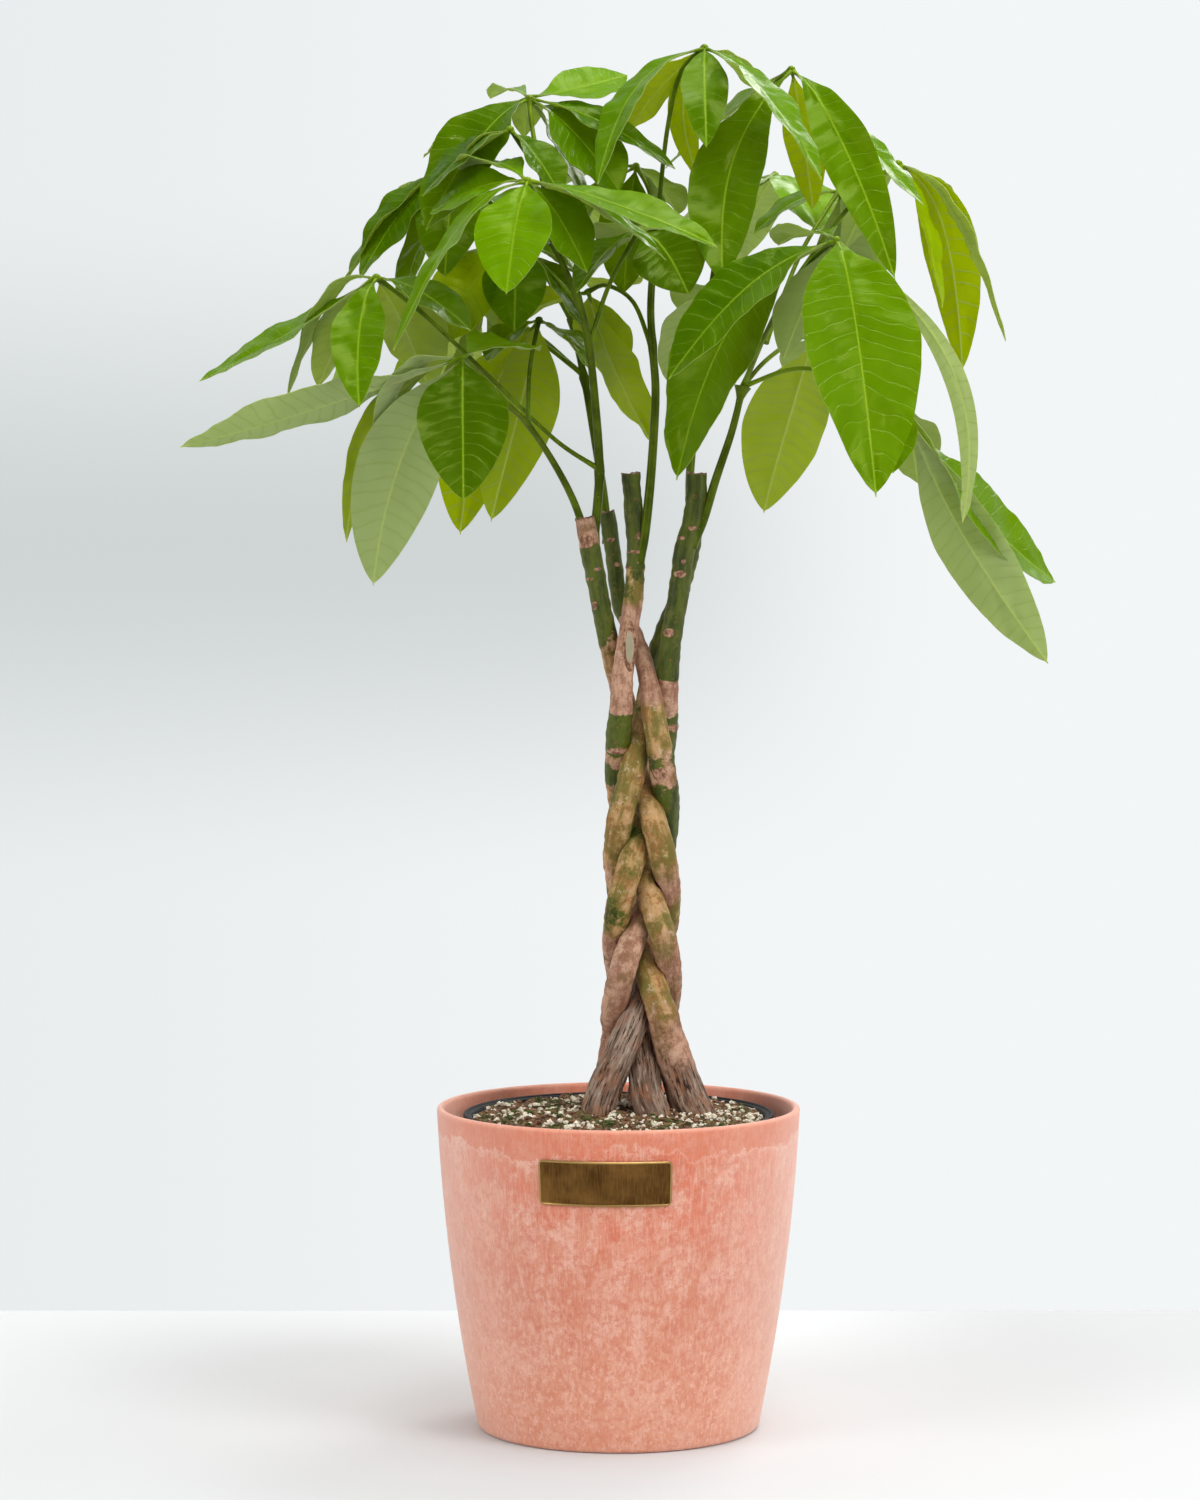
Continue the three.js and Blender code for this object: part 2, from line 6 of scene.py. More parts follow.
import bpy
import numpy as np
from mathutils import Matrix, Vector


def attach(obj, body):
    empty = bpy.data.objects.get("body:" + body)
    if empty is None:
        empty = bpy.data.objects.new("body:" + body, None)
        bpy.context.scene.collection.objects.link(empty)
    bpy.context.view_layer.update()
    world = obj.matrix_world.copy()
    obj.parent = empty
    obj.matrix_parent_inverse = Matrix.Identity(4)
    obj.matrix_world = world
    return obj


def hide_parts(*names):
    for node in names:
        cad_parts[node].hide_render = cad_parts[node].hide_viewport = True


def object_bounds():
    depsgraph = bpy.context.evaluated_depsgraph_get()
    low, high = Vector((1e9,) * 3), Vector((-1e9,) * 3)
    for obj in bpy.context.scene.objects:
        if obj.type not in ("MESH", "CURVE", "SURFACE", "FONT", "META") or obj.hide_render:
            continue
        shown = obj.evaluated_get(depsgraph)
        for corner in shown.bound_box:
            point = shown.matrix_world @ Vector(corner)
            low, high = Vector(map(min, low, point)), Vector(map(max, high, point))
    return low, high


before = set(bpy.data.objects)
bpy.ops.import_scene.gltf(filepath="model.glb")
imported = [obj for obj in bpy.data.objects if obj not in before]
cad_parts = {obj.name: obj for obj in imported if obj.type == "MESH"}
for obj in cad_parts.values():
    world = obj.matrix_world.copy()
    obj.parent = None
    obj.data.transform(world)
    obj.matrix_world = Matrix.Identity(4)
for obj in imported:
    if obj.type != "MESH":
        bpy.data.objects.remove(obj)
cad_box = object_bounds()

UP = np.array((0.0, 0.0, 1.0))
draw = random.Random(41)
CAMERA = dict(place=(-0.0126, -2.873, 0.614), pitch=87.0, lens=101.35)


def rgb(red, green, blue):
    """A colour given as it is seen on a screen, 0 to 255, as the shader's linear colour."""
    linear = [((c / 255 + 0.055) / 1.055) ** 2.4 if c > 10 else c / 255 / 12.92 for c in (red, green, blue)]
    return (*linear, 1.0)


# Sizes of the solid pieces, and the gap that keeps neighbours apart
PLANTER = dict(height=0.220, rim=0.1242, belly=0.119, base=0.0962, wall=0.005, floor=0.008, foot=0.004,
               lip=0.0024, hollow=0.0012, hollow_radius=0.085)
POT = dict(rim=0.1065, lip=0.003, lip_height=0.009, top_radius=0.102, base_radius=0.080, top=0.2155,
           wall=0.0016, hole_radius=0.006, hole_circle=0.055, holes=4)
SOIL = dict(radius=0.0995, edge=0.2115, shoulder=0.215, crown=0.219, strewn=0.0975)
# The rolled lip of the grow pot: how far inside its rim and below its top each point lies
POT_LIP = [(0.0004, 0.0022), (0.0006, 0.0008), (0.0014, 0.0002), (0.0024, 0.0006), (0.0030, 0.0016),
           (0.0038, 0.0012)]
# Lumps of the soil: height, size and seed
SOIL_LUMPS = [(0.0011, 0.016, 3), (0.0007, 0.006, 4), (0.0004, 0.003, 6)]
PLATE = dict(width=0.089, height=0.030, middle=0.1845, bearing=-94.5, thickness=0.0016, corner=0.0035)
GAP = 0.0003

BRAID = dict(
    axis_x=0.016, axis_y=-0.001, stems=5, low=0.262, high=0.440, step=0.0125,
    crossings=[0.600, 0.537, 0.475, 0.437, 0.409, 0.379, 0.350, 0.322, 0.294, 0.266, 0.238, 0.210],
    half_width=(0.019, 0.0165), half_depth=(0.020, 0.018),
    foot_taper=(0.205, 0.330), top_taper=(0.440, 0.560),
)
# Round every stem the grain of the bark is laid out at this radius
GRAIN_RADIUS = 0.011

# Stems of the braid. first is the crossing where the stem first comes forward and side the way it
# then goes. skin is how green, ochre and grey the bark is down the stem: height, then three shares.
TRUNKS = {
    "middle": dict(
        first=1, side=-1, radii=(0.0105, 0.009, 0.0064), start=0.500,
        top=[(0.008, -0.006, 0.652), (0.010, -0.006, 0.628), (0.012, -0.006, 0.604),
             (0.011, -0.007, 0.578), (0.008, -0.010, 0.550), (0.004, -0.014, 0.525)],
        foot=[(0.018, 0.016, 0.228), (0.012, 0.018, 0.205), (0.008, 0.020, 0.178), (0.006, 0.022, 0.150)],
        skin=[(0.652, 1, 0, 0), (0.592, 1, 0, 0), (0.586, 0.4, 0.8, 0), (0.566, 0.35, 0.8, 0),
              (0.559, 0, 0.15, 0), (0.494, 0, 0.15, 0), (0.488, 0.8, 0.3, 0), (0.466, 0.9, 0.2, 0),
              (0.462, 0.25, 0.5, 0), (0.452, 0.75, 0.3, 0), (0.443, 0.6, 0.3, 0), (0.438, 0.05, 0.7, 0),
              (0.400, 0.2, 0.5, 0), (0.375, 0.15, 0.85, 0), (0.345, 0.1, 0.7, 0.1), (0.325, 0, 0.4, 0.2),
              (0.262, 0, 0.15, 0.5), (0.225, 0, 0, 1)],
    ),
    "back_left": dict(
        first=2, side=1, radii=(0.010, 0.009, 0.0056), start=0.505,
        top=[(-0.008, 0.022, 0.626), (-0.005, 0.021, 0.606), (-0.002, 0.020, 0.585),
             (0.002, 0.018, 0.560), (0.010, 0.008, 0.543), (0.017, -0.002, 0.525)],
        foot=[(-0.008, 0.018, 0.228), (-0.014, 0.024, 0.200), (-0.018, 0.028, 0.150)],
        skin=[(0.626, 1, 0, 0), (0.558, 1, 0, 0), (0.550, 0, 0, 0), (0.500, 0, 0.1, 0),
              (0.490, 0, 0.9, 0), (0.470, 0.1, 0.9, 0), (0.460, 0.55, 0.6, 0), (0.445, 0.5, 0.5, 0),
              (0.430, 0.9, 0.1, 0), (0.405, 0.9, 0.2, 0), (0.395, 0.4, 0.9, 0), (0.375, 0.2, 0.6, 0),
              (0.360, 0.1, 0.3, 0.2), (0.340, 0.25, 0.4, 0.3), (0.320, 0, 0.2, 0), (0.262, 0, 0.05, 0.2),
              (0.225, 0, 0, 1)],
    ),
    "back_right": dict(
        first=3, side=-1, radii=(0.0138, 0.009, 0.006), start=0.520,
        top=[(0.053, 0.025, 0.628), (0.050, 0.024, 0.600), (0.042, 0.022, 0.570), (0.032, 0.019, 0.545)],
        foot=[(0.046, -0.012, 0.229), (0.054, -0.013, 0.211), (0.061, -0.012, 0.180),
              (0.065, -0.012, 0.150)],
        skin=[(0.628, 1, 0, 0), (0.530, 0.9, 0.2, 0), (0.500, 0.5, 0.6, 0), (0.475, 0.28, 0.9, 0),
              (0.400, 0.28, 0.9, 0), (0.385, 0.2, 0.5, 0), (0.360, 0.2, 0.5, 0), (0.335, 0.05, 0.4, 0),
              (0.315, 0.1, 0.95, 0), (0.295, 0.1, 0.9, 0), (0.285, 0.3, 0.6, 0.1), (0.262, 0.35, 0.3, 0.2),
              (0.248, 0, 0.1, 0.6), (0.225, 0, 0.3, 1)],
    ),
    "left": dict(
        first=4, side=1, radii=(0.0117, 0.009, 0.0068), start=0.495,
        top=[(-0.023, -0.012, 0.622), (-0.019, -0.012, 0.600), (-0.015, -0.011, 0.578),
             (-0.010, -0.006, 0.553), (-0.005, 0.004, 0.530), (0, 0.012, 0.512)],
        foot=[(-0.010, -0.020, 0.232), (-0.015, -0.020, 0.212), (-0.020, -0.020, 0.182),
              (-0.023, -0.018, 0.150)],
        skin=[(0.622, 0.25, 0.3, 0.5), (0.604, 0.35, 0.3, 0.2), (0.598, 1, 0, 0), (0.570, 0.95, 0.1, 0),
              (0.545, 0.7, 0.6, 0), (0.520, 0.4, 0.8, 0), (0.505, 0, 0.1, 0), (0.470, 0.1, 0.4, 0),
              (0.445, 0, 0.3, 0), (0.430, 0, 0.9, 0), (0.395, 0, 0.85, 0.1), (0.375, 0, 0.2, 0.3),
              (0.355, 0, 0.8, 0), (0.335, 0, 0.1, 0.1), (0.310, 0, 0.1, 0.6), (0.290, 0, 0, 1),
              (0.225, 0, 0, 1)],
    ),
    "right": dict(
        first=5, side=-1, radii=(0.011, 0.009, 0.007), start=0.485,
        top=[(0.053, -0.008, 0.652), (0.0515, -0.008, 0.624), (0.045, -0.010, 0.602), (0.042, -0.012, 0.580),
             (0.038, -0.014, 0.555), (0.035, -0.012, 0.532), (0.033, -0.005, 0.508)],
        foot=[(0.017, -0.017, 0.242), (0.020, -0.023, 0.227), (0.026, -0.027, 0.211),
              (0.031, -0.028, 0.180), (0.033, -0.026, 0.150)],
        skin=[(0.652, 1, 0, 0), (0.515, 1, 0, 0), (0.512, 0, 0.05, 0), (0.492, 0, 0.1, 0),
              (0.487, 0.95, 0.1, 0), (0.445, 0.95, 0.1, 0), (0.420, 0.6, 0.7, 0), (0.405, 0.35, 0.9, 0),
              (0.375, 0.35, 0.9, 0), (0.345, 0.45, 0.8, 0), (0.335, 0, 0.1, 0.1), (0.325, 0.5, 0.3, 0.2),
              (0.300, 0, 0.1, 0.6), (0.270, 0, 0, 1), (0.225, 0, 0, 1)],
    ),
}

# Scars on the front of the stems: stem, X, height, half width, half height.
SCARS = [
    ("right", 0.050, 0.615, 0.0032, 0.0022), ("right", 0.042, 0.608, 0.0035, 0.0018),
    ("right", 0.0437, 0.592, 0.0016, 0.0016), ("right", 0.0416, 0.584, 0.0042, 0.0030),
    ("right", 0.0340, 0.5445, 0.0040, 0.0035), ("right", 0.0375, 0.479, 0.0040, 0.0036),
    ("right", 0.002, 0.335, 0.0050, 0.0050), ("middle", 0.0155, 0.610, 0.0036, 0.0036),
    ("middle", 0.0105, 0.5985, 0.0050, 0.0016), ("middle", 0.014, 0.592, 0.0026, 0.0010),
    ("middle", 0.0060, 0.588, 0.0026, 0.0012), ("left", -0.0215, 0.607, 0.0050, 0.0060),
    ("left", -0.0145, 0.587, 0.0032, 0.0014), ("left", -0.0190, 0.580, 0.0028, 0.0014),
    ("left", -0.0160, 0.563, 0.0016, 0.0040), ("back_left", -0.0055, 0.607, 0.0030, 0.0022),
    ("back_left", -0.0010, 0.590, 0.0022, 0.0018), ("back_left", 0.0285, 0.450, 0.0048, 0.0052),
    ("back_right", 0.0140, 0.447, 0.0016, 0.0016), ("back_right", 0.0120, 0.434, 0.0014, 0.0014),
    ("middle", 0.0000, 0.464, 0.0080, 0.0030),
]

# A bare pale oval with a dark border on the front of one stem, placed as the scars are
PALE_OVAL = dict(stem="middle", place=(0.0075, 0.5345, 0.0032, 0.0125))

# Leaves: thickness of the blade, how far it folds, where it starts from the hub, radii of stalk and knob,
# the shares of its length where it is widest, where its narrow point begins and where it bends most, the
# least half widths of its neck and point, the height of its waves and of the pillows between its veins as
# a share of its half width, and how far its midrib stands out above and below
LEAF = dict(thickness=0.00045, fold=0.2, seat=0.0026, stalk=0.0017, knob=0.0027, widest=0.574, blade=0.99,
            knee=0.45, neck=0.0009, point=0.0034, wave=0.045, pillow=0.020,
            rib_above=0.0003, rib_below=0.0009)
HALF_ACROSS = (0.03, 0.09, 0.20, 0.36, 0.54, 0.72, 0.88, 1)
ACROSS = np.array([-u for u in HALF_ACROSS[::-1]] + [0, *HALF_ACROSS])
STALK_STEP = 0.004
STEPS_PER_VEIN = 3
VEIN_LEAN = 0.27
LEAF_SHEEN = (0.85, 1.0, 0.15, 1)


def fan(facing, tilt, count, length, width):
    """Leaflets spread evenly about the way that the leaf faces."""
    rows = []
    for i in range(count):
        offset = i - (count - 1) / 2
        bearing = math.radians(facing + offset * 300 / count)
        reach = length * (1 - 0.06 * abs(offset))
        drop = math.radians(tilt + 9 * (i % 2))
        rows.append((
            reach * math.cos(drop) * math.cos(bearing), reach * math.cos(drop) * math.sin(bearing),
            -reach * math.sin(drop), width * (1 - 0.05 * abs(offset)), 0.2 * reach, 0,
        ))
    return rows


def leaf(hub, stalk, tone, *leaflets):
    """A leaf: the hub where its leaflets meet, the points of its stalk up to the hub, and its leaflets."""
    return dict(hub=hub, stalk=stalk, tone=tone, leaflets=leaflets)


def shoot(radius, stem, *leaves):
    """A shoot: the radius and the points of its stem, and its leaves."""
    return dict(radius=radius, stem=stem, leaves=leaves)


# A leaflet is its reach in X, Y and Z from hub to tip, its width, its arch, its roll in degrees and, where
# the blade bends sideways, by how much. Its tone goes from dark at 0 to light at 1 and to the yellow of a
# young leaf with light behind it at 2. The tones are partly the leaves' own colour and partly painted light:
# low tones stand for shade on leaves that lie in shade, and the yellow is a painted glow of light through
# the leaf. One tone can stand for all leaflets of a leaf.
SHOOTS = {
    "front_left": shoot(
        0.0028, [(-0.02, -0.012, 0.603), (-0.031, -0.017, 0.634), (-0.046, -0.025, 0.662),
                (-0.062, -0.035, 0.685), (-0.075, -0.042, 0.697)],
        leaf((-0.103, -0.086, 0.727), [(-0.075, -0.042, 0.697), (-0.092, -0.066, 0.716)],
             (1, 0, 0.7, 0.6, 1, 1.8), (-0.188, 0.018, -0.059, 0.046, -0.008, -30),
             (0.002, -0.05, -0.095, 0.06, 0.022, 0), (-0.061, 0.034, -0.151, 0.056, 0.015, -60, -0.022),
             (0.045, 0.062, 0.008, 0.05, 0.01, -15), (-0.054, 0.04, -0.061, 0.032, 0.036, 0, -0.032),
             (-0.081, 0.072, -0.122, 0.022, 0.036, -20, -0.038)),
        leaf((-0.054, 0.006, 0.756), [(-0.061, -0.034, 0.685), (-0.06, -0.012, 0.722)], (1.9, 2, 0.3, 0.3),
             (-0.034, 0.046, -0.137, 0.054, 0.036, -30, 0.008),
             (-0.056, 0.066, -0.146, 0.056, 0.02, -30, -0.02), (-0.034, -0.03, -0.03, 0.042, 0.012, 0),
             (0.034, -0.016, -0.034, 0.044, 0.012, 0)),
    ),
    "left": shoot(
        0.0033, [(-0.017, -0.008, 0.604), (-0.014, -0.008, 0.634), (-0.013, -0.01, 0.656),
                (-0.015, -0.018, 0.689), (-0.02, -0.028, 0.737), (-0.027, -0.038, 0.765),
                (-0.044, -0.05, 0.805)],
        leaf((-0.06, -0.095, 0.842), [(-0.044, -0.05, 0.805), (-0.053, -0.07, 0.826)],
             (0.85, 0.5, 0.7, 0.4, 0.35, 0.6, 0.5), (-0.013, -0.045, -0.077, 0.052, 0.018, 0),
             (-0.087, -0.02, -0.112, 0.023, 0.05, 20), (0.123, -0.034, -0.046, 0.033, 0.01, -32),
             (0.039, -0.008, -0.061, 0.041, 0.012, -40), (0.091, 0.022, -0.051, 0.046, 0.015, -20),
             (-0.044, 0.052, 0.008, 0.044, 0.018, 0), (-0.065, 0.03, -0.02, 0.04, 0.012, 40)),
        leaf((-0.06, -0.03, 0.902), [(-0.044, -0.05, 0.805), (-0.052, -0.048, 0.85),
             (-0.058, -0.038, 0.882)], (0.6, 0.7, 0.6, 0.35, 0.35, 0.25, 0.25, 0.25),
             (-0.028, 0.085, 0.008, 0.022, 0.012, 0), (0.066, 0.05, 0.02, 0.036, -0.002, -35),
             (-0.073, 0.054, -0.035, 0.042, 0.01, 20), (-0.068, -0.025, -0.09, 0.054, 0.03, 35),
             (0.061, 0.008, -0.063, 0.062, 0.016, -50), (-0.005, 0.08, -0.019, 0.022, 0.01, 0),
             (0.098, 0.018, -0.046, 0.03, 0.014, -40), (0.038, 0.018, -0.072, 0.046, 0.012, -40)),
        leaf((-0.072, -0.064, 0.878), [(-0.052, -0.048, 0.85), (-0.064, -0.058, 0.866)], 0.3,
             (0.034, -0.004, -0.046, 0.036, 0.01, -30), (-0.028, 0.022, -0.022, 0.034, 0.008, 20),
             (-0.058, 0.004, -0.044, 0.038, 0.012, 25)),
        leaf((-0.161, -0.06, 0.781), [(-0.013, -0.01, 0.654), (-0.043, -0.017, 0.674),
             (-0.082, -0.03, 0.711), (-0.126, -0.048, 0.753)], (0.6, 0.6, 1.5, 0.45, 0.35, 1.7),
             (-0.118, 0.005, -0.069, 0.038, -0.007, 24), (-0.061, 0.02, -0.08, 0.026, 0.052, 0),
             (-0.042, 0.045, -0.072, 0.038, 0.016, 0), (-0.008, -0.058, -0.088, 0.036, 0.02, 0, 0.012),
             (0.063, -0.025, -0.037, 0.038, 0.014, -20), (0.033, 0.05, -0.073, 0.056, 0.012, 0)),
        leaf((0.014, -0.04, 0.814), [(-0.02, -0.028, 0.737), (-0.006, -0.034, 0.778)], 0.2,
             (0.032, -0.024, -0.045, 0.052, 0.014, -50), (-0.042, -0.026, -0.044, 0.046, 0.014, 0),
             (0.044, 0.026, -0.01, 0.044, 0.01, 0), (-0.02, 0.034, -0.012, 0.044, 0.01, 0)),
        leaf((-0.068, -0.012, 0.806), [(-0.027, -0.038, 0.765), (-0.05, -0.018, 0.79)],
             (1.8, 0.25, 0.3, 0.2, 0.2, 0.2), (-0.064, 0.004, -0.074, 0.054, 0.016, 62),
             (-0.002, -0.02, -0.06, 0.044, 0.014, 0), (0.048, 0.002, -0.066, 0.046, 0.014, -20),
             (-0.046, 0.05, -0.018, 0.04, 0.014, 20), (-0.01, 0.056, -0.06, 0.048, 0.01, 0),
             (0.044, 0.03, -0.024, 0.038, 0.01, -30)),
    ),
    "back_left": shoot(
        0.0032, [(-0.007, 0.024, 0.604), (-0.01, 0.03, 0.636), (-0.015, 0.038, 0.668), (-0.024, 0.06, 0.72),
                (-0.033, 0.082, 0.76)],
        leaf((-0.112, 0.028, 0.858), [(-0.033, 0.082, 0.76), (-0.07, 0.06, 0.82)], 0.25,
             (-0.064, -0.014, -0.074, 0.046, 0.025, 25), (-0.08, 0.015, -0.081, 0.046, 0.025, 15),
             (-0.005, -0.048, -0.075, 0.044, 0.015, 0), (-0.032, 0.09, -0.034, 0.048, 0.012, 0),
             (-0.038, -0.006, -0.094, 0.042, 0.018, 20)),
        leaf((-0.128, 0.138, 0.784), [(-0.024, 0.06, 0.72), (-0.06, 0.096, 0.752), (-0.1, 0.124, 0.774)],
             1.4, *fan(facing=140, tilt=34, count=5, length=0.118, width=0.046)),
        leaf((-0.092, 0.062, 0.768), [(-0.024, 0.06, 0.72), (-0.06, 0.062, 0.748)], 1.5,
             (-0.03, 0.026, -0.1, 0.048, 0.014, 20), (0.024, 0.028, -0.098, 0.046, 0.014, -10),
             (-0.066, 0.008, -0.062, 0.046, 0.014, 30), (0.034, 0.03, -0.064, 0.044, 0.012, -20)),
        leaf((-0.046, 0.16, 0.858), [(-0.033, 0.082, 0.76), (-0.04, 0.128, 0.822), (-0.044, 0.148, 0.846)],
             0.25, *fan(facing=105, tilt=26, count=5, length=0.112, width=0.048)),
    ),
    "middle": shoot(
        0.0034, [(0.013, -0.008, 0.59), (0.017, -0.01, 0.606), (0.021, -0.009, 0.64),
                (0.024, -0.007, 0.681), (0.025, -0.004, 0.71), (0.023, 0, 0.738), (0.022, 0.004, 0.771),
                (0.027, 0.008, 0.83)],
        leaf((0.058, 0, 0.939), [(0.027, 0.008, 0.83), (0.033, 0.005, 0.884), (0.042, 0.002, 0.922)],
             (0.45, 0.45, 1.9, 0.6, 0.45, 2), (0, -0.05, -0.072, 0.032, 0.022, 0),
             (-0.072, -0.072, -0.098, 0.028, 0.036, 0, 0.028), (-0.056, 0.035, -0.059, 0.036, 0.012, -10),
             (0.075, -0.082, -0.096, 0.038, 0.03, 8), (0.035, 0.012, -0.028, 0.03, 0.008, 0),
             (-0.003, 0.05, -0.084, 0.021, 0.015, 0, -0.026)),
        leaf((-0.021, 0.03, 0.776), [(0.022, 0.002, 0.738), (0.01, 0.012, 0.768), (-0.008, 0.024, 0.78)],
             1.9, (0.044, 0.035, -0.102, 0.046, 0.006, 0, -0.014), (0.031, 0.066, 0.009, 0.04, 0.008, 0),
             (0.018, 0.058, -0.062, 0.042, 0.014, 0), (-0.066, -0.01, -0.031, 0.04, 0.012, -25)),
        leaf((0.012, 0.03, 0.862), [(0.025, 0.006, 0.8), (0.022, 0.02, 0.84)], 0.3,
             (-0.046, 0, -0.052, 0.042, 0.014, 25), (-0.008, -0.012, -0.088, 0.046, 0.014, 0),
             (0.034, 0.01, -0.072, 0.044, 0.014, -20), (-0.056, 0.04, -0.014, 0.042, 0.01, 20),
             (0.03, 0.046, -0.03, 0.042, 0.01, -20)),
    ),
    "back_right": shoot(
        0.0032, [(0.052, 0.028, 0.606), (0.049, 0.034, 0.64), (0.051, 0.04, 0.672), (0.056, 0.048, 0.72),
                (0.062, 0.056, 0.764), (0.07, 0.05, 0.816)],
        leaf((0.117, 0.005, 0.925), [(0.07, 0.05, 0.816), (0.086, 0.034, 0.872), (0.102, 0.014, 0.91)],
             (0.45, 0.5, 0.35, 2, 0.3), (0.066, -0.066, -0.146, 0.036, 0.045, -50),
             (0.087, -0.036, -0.095, 0.03, 0.002, -10), (-0.048, -0.082, -0.15, 0.051, 0.012, 10, 0.034),
             (0.017, 0.044, -0.092, 0.03, 0.014, 0), (-0.084, 0.084, -0.06, 0.034, 0.008, 35)),
        leaf((0.066, 0.04, 0.781), [(0.056, 0.048, 0.72), (0.06, 0.044, 0.758)], 1.2,
             (-0.032, 0.03, -0.065, 0.044, 0.012, 0), (0.022, 0.044, -0.05, 0.04, 0.012, 0),
             (-0.014, 0.062, -0.02, 0.044, 0.012, 0)),
        leaf((0.112, 0.15, 0.866), [(0.07, 0.05, 0.816), (0.088, 0.1, 0.846), (0.104, 0.134, 0.86)], 1,
             *fan(facing=50, tilt=30, count=5, length=0.104, width=0.048)),
    ),
    "right": shoot(
        0.0034, [(0.049, -0.011, 0.602), (0.057, -0.01, 0.619), (0.066, -0.009, 0.648),
                (0.077, -0.008, 0.681), (0.084, -0.006, 0.71)],
        leaf((0.141, -0.115, 0.802), [(0.084, -0.006, 0.71), (0.098, -0.04, 0.744), (0.122, -0.088, 0.784)],
             (0.5, 0.2, 0.4, 1.3, 0.35, 0.3), (0.022, -0.07, -0.168, 0.08, 0.058, 0),
             (-0.109, -0.008, -0.091, 0.05, 0.024, 40, 0.008),
             (-0.103, 0.035, -0.156, 0.074, 0.025, 60, 0.05),
             (0.084, 0.015, -0.184, 0.015, -0.02, 80, 0.072), (-0.034, 0.09, 0.002, 0.04, 0.014, 0),
             (-0.032, 0.055, -0.075, 0.04, 0.008, 0)),
        leaf((0.136, 0.055, 0.746), [(0.084, -0.006, 0.71), (0.1, 0.01, 0.728), (0.122, 0.04, 0.744)],
             (1.7, 1.2, 1.2), (-0.034, 0.034, -0.121, 0.06, 0.02, -30),
             (0.05, 0.062, -0.062, 0.05, 0.018, 0), (0.004, 0.096, -0.04, 0.05, 0.014, 0)),
        leaf((0.189, -0.02, 0.701), [(0.084, -0.006, 0.71), (0.12, -0.01, 0.722), (0.16, -0.016, 0.716)],
             (0.6, 0.6, 0.4, 0.4), (0.104, 0.025, -0.179, 0.046, 0, 60, -0.012),
             (0.113, 0.066, -0.124, 0.062, -0.02, -50, 0.01), (-0.006, -0.026, -0.05, 0.03, 0.008, 0),
             (0.02, 0.09, -0.056, 0.04, 0.01, 0)),
        leaf((0.19, 0.01, 0.862), [(0.084, -0.006, 0.71), (0.112, 0.014, 0.77), (0.15, 0.018, 0.824),
             (0.174, 0.014, 0.85)], (0.3, 1.6, 2, 1.3, 0.4), (0.042, 0.05, -0.023, 0.024, 0.004, -15),
             (0.027, -0.04, -0.1, 0.028, 0.025, 30, -0.01), (0.047, 0.035, -0.14, 0.04, 0.05, 30, 0.018),
             (0.073, -0.005, -0.121, 0.017, 0.052, 20), (-0.034, 0.07, -0.056, 0.024, 0.01, 0)),
        leaf((0.154, 0.075, 0.849), [(0.1, 0.004, 0.74), (0.124, 0.044, 0.8), (0.144, 0.066, 0.834)], 0.35,
             (-0.06, -0.005, -0.031, 0.03, 0.014, 20), (0.024, 0.06, -0.08, 0.042, 0.014, 0),
             (0.006, 0.044, -0.112, 0.044, 0.016, 0)),
    ),
}


# Small helpers
def smooth(value, low, high):
    """0 below low, 1 above high, and an S curve between."""
    t = np.clip((np.asarray(value, float) - low) / (high - low), 0, 1)
    return t * t * (3 - 2 * t)


def unit(vectors):
    return vectors / np.linalg.norm(vectors, axis=-1, keepdims=True)


def ripple(points, size, seed, waves=14):
    """A smooth random field of about unit height, with lumps of that size."""
    source = np.random.default_rng(seed)
    total = np.zeros(points.shape[:-1])
    for _ in range(waves):
        direction = unit(source.normal(size=3))
        length = size * source.uniform(0.7, 1.6)
        total += np.sin(points @ direction * (2 * math.pi / length) + source.uniform(0, 2 * math.pi))
    return total / math.sqrt(waves / 2)


def bow(t, start, knee, end):
    """The point at share t of a curve from start to end that is drawn towards the knee."""
    return (1 - t) ** 2 * start + 2 * t * (1 - t) * knee + t ** 2 * end


def run_along(points):
    """How far each point lies along the line through all of them."""
    return np.concatenate(([0], np.cumsum(np.linalg.norm(np.diff(points, axis=0), axis=1))))


def curve_through(points, spacing):
    """Points of a smooth curve through the given ones, evenly spaced."""
    knots = np.array(points, float)
    ends = np.vstack((2 * knots[0] - knots[1], knots, 2 * knots[-1] - knots[-2]))
    t = np.linspace(0, 1, 24, endpoint=False)[:, None]
    parts = []
    for a, b, c, d in zip(ends, ends[1:], ends[2:], ends[3:]):
        parts.append(0.5 * (2 * b + (c - a) * t + (2 * a - 5 * b + 4 * c - d) * t ** 2
                            + (3 * b - a - 3 * c + d) * t ** 3))
    fine = np.vstack((*parts, knots[-1:]))
    reached = run_along(fine)
    stops = np.linspace(0, reached[-1], max(int(reached[-1] / spacing), 3) + 1)
    return np.stack([np.interp(stops, reached, fine[:, k]) for k in range(3)], axis=1)


def place_object(name, data):
    made = bpy.data.objects.new(name, data)
    bpy.context.scene.collection.objects.link(made)
    return made


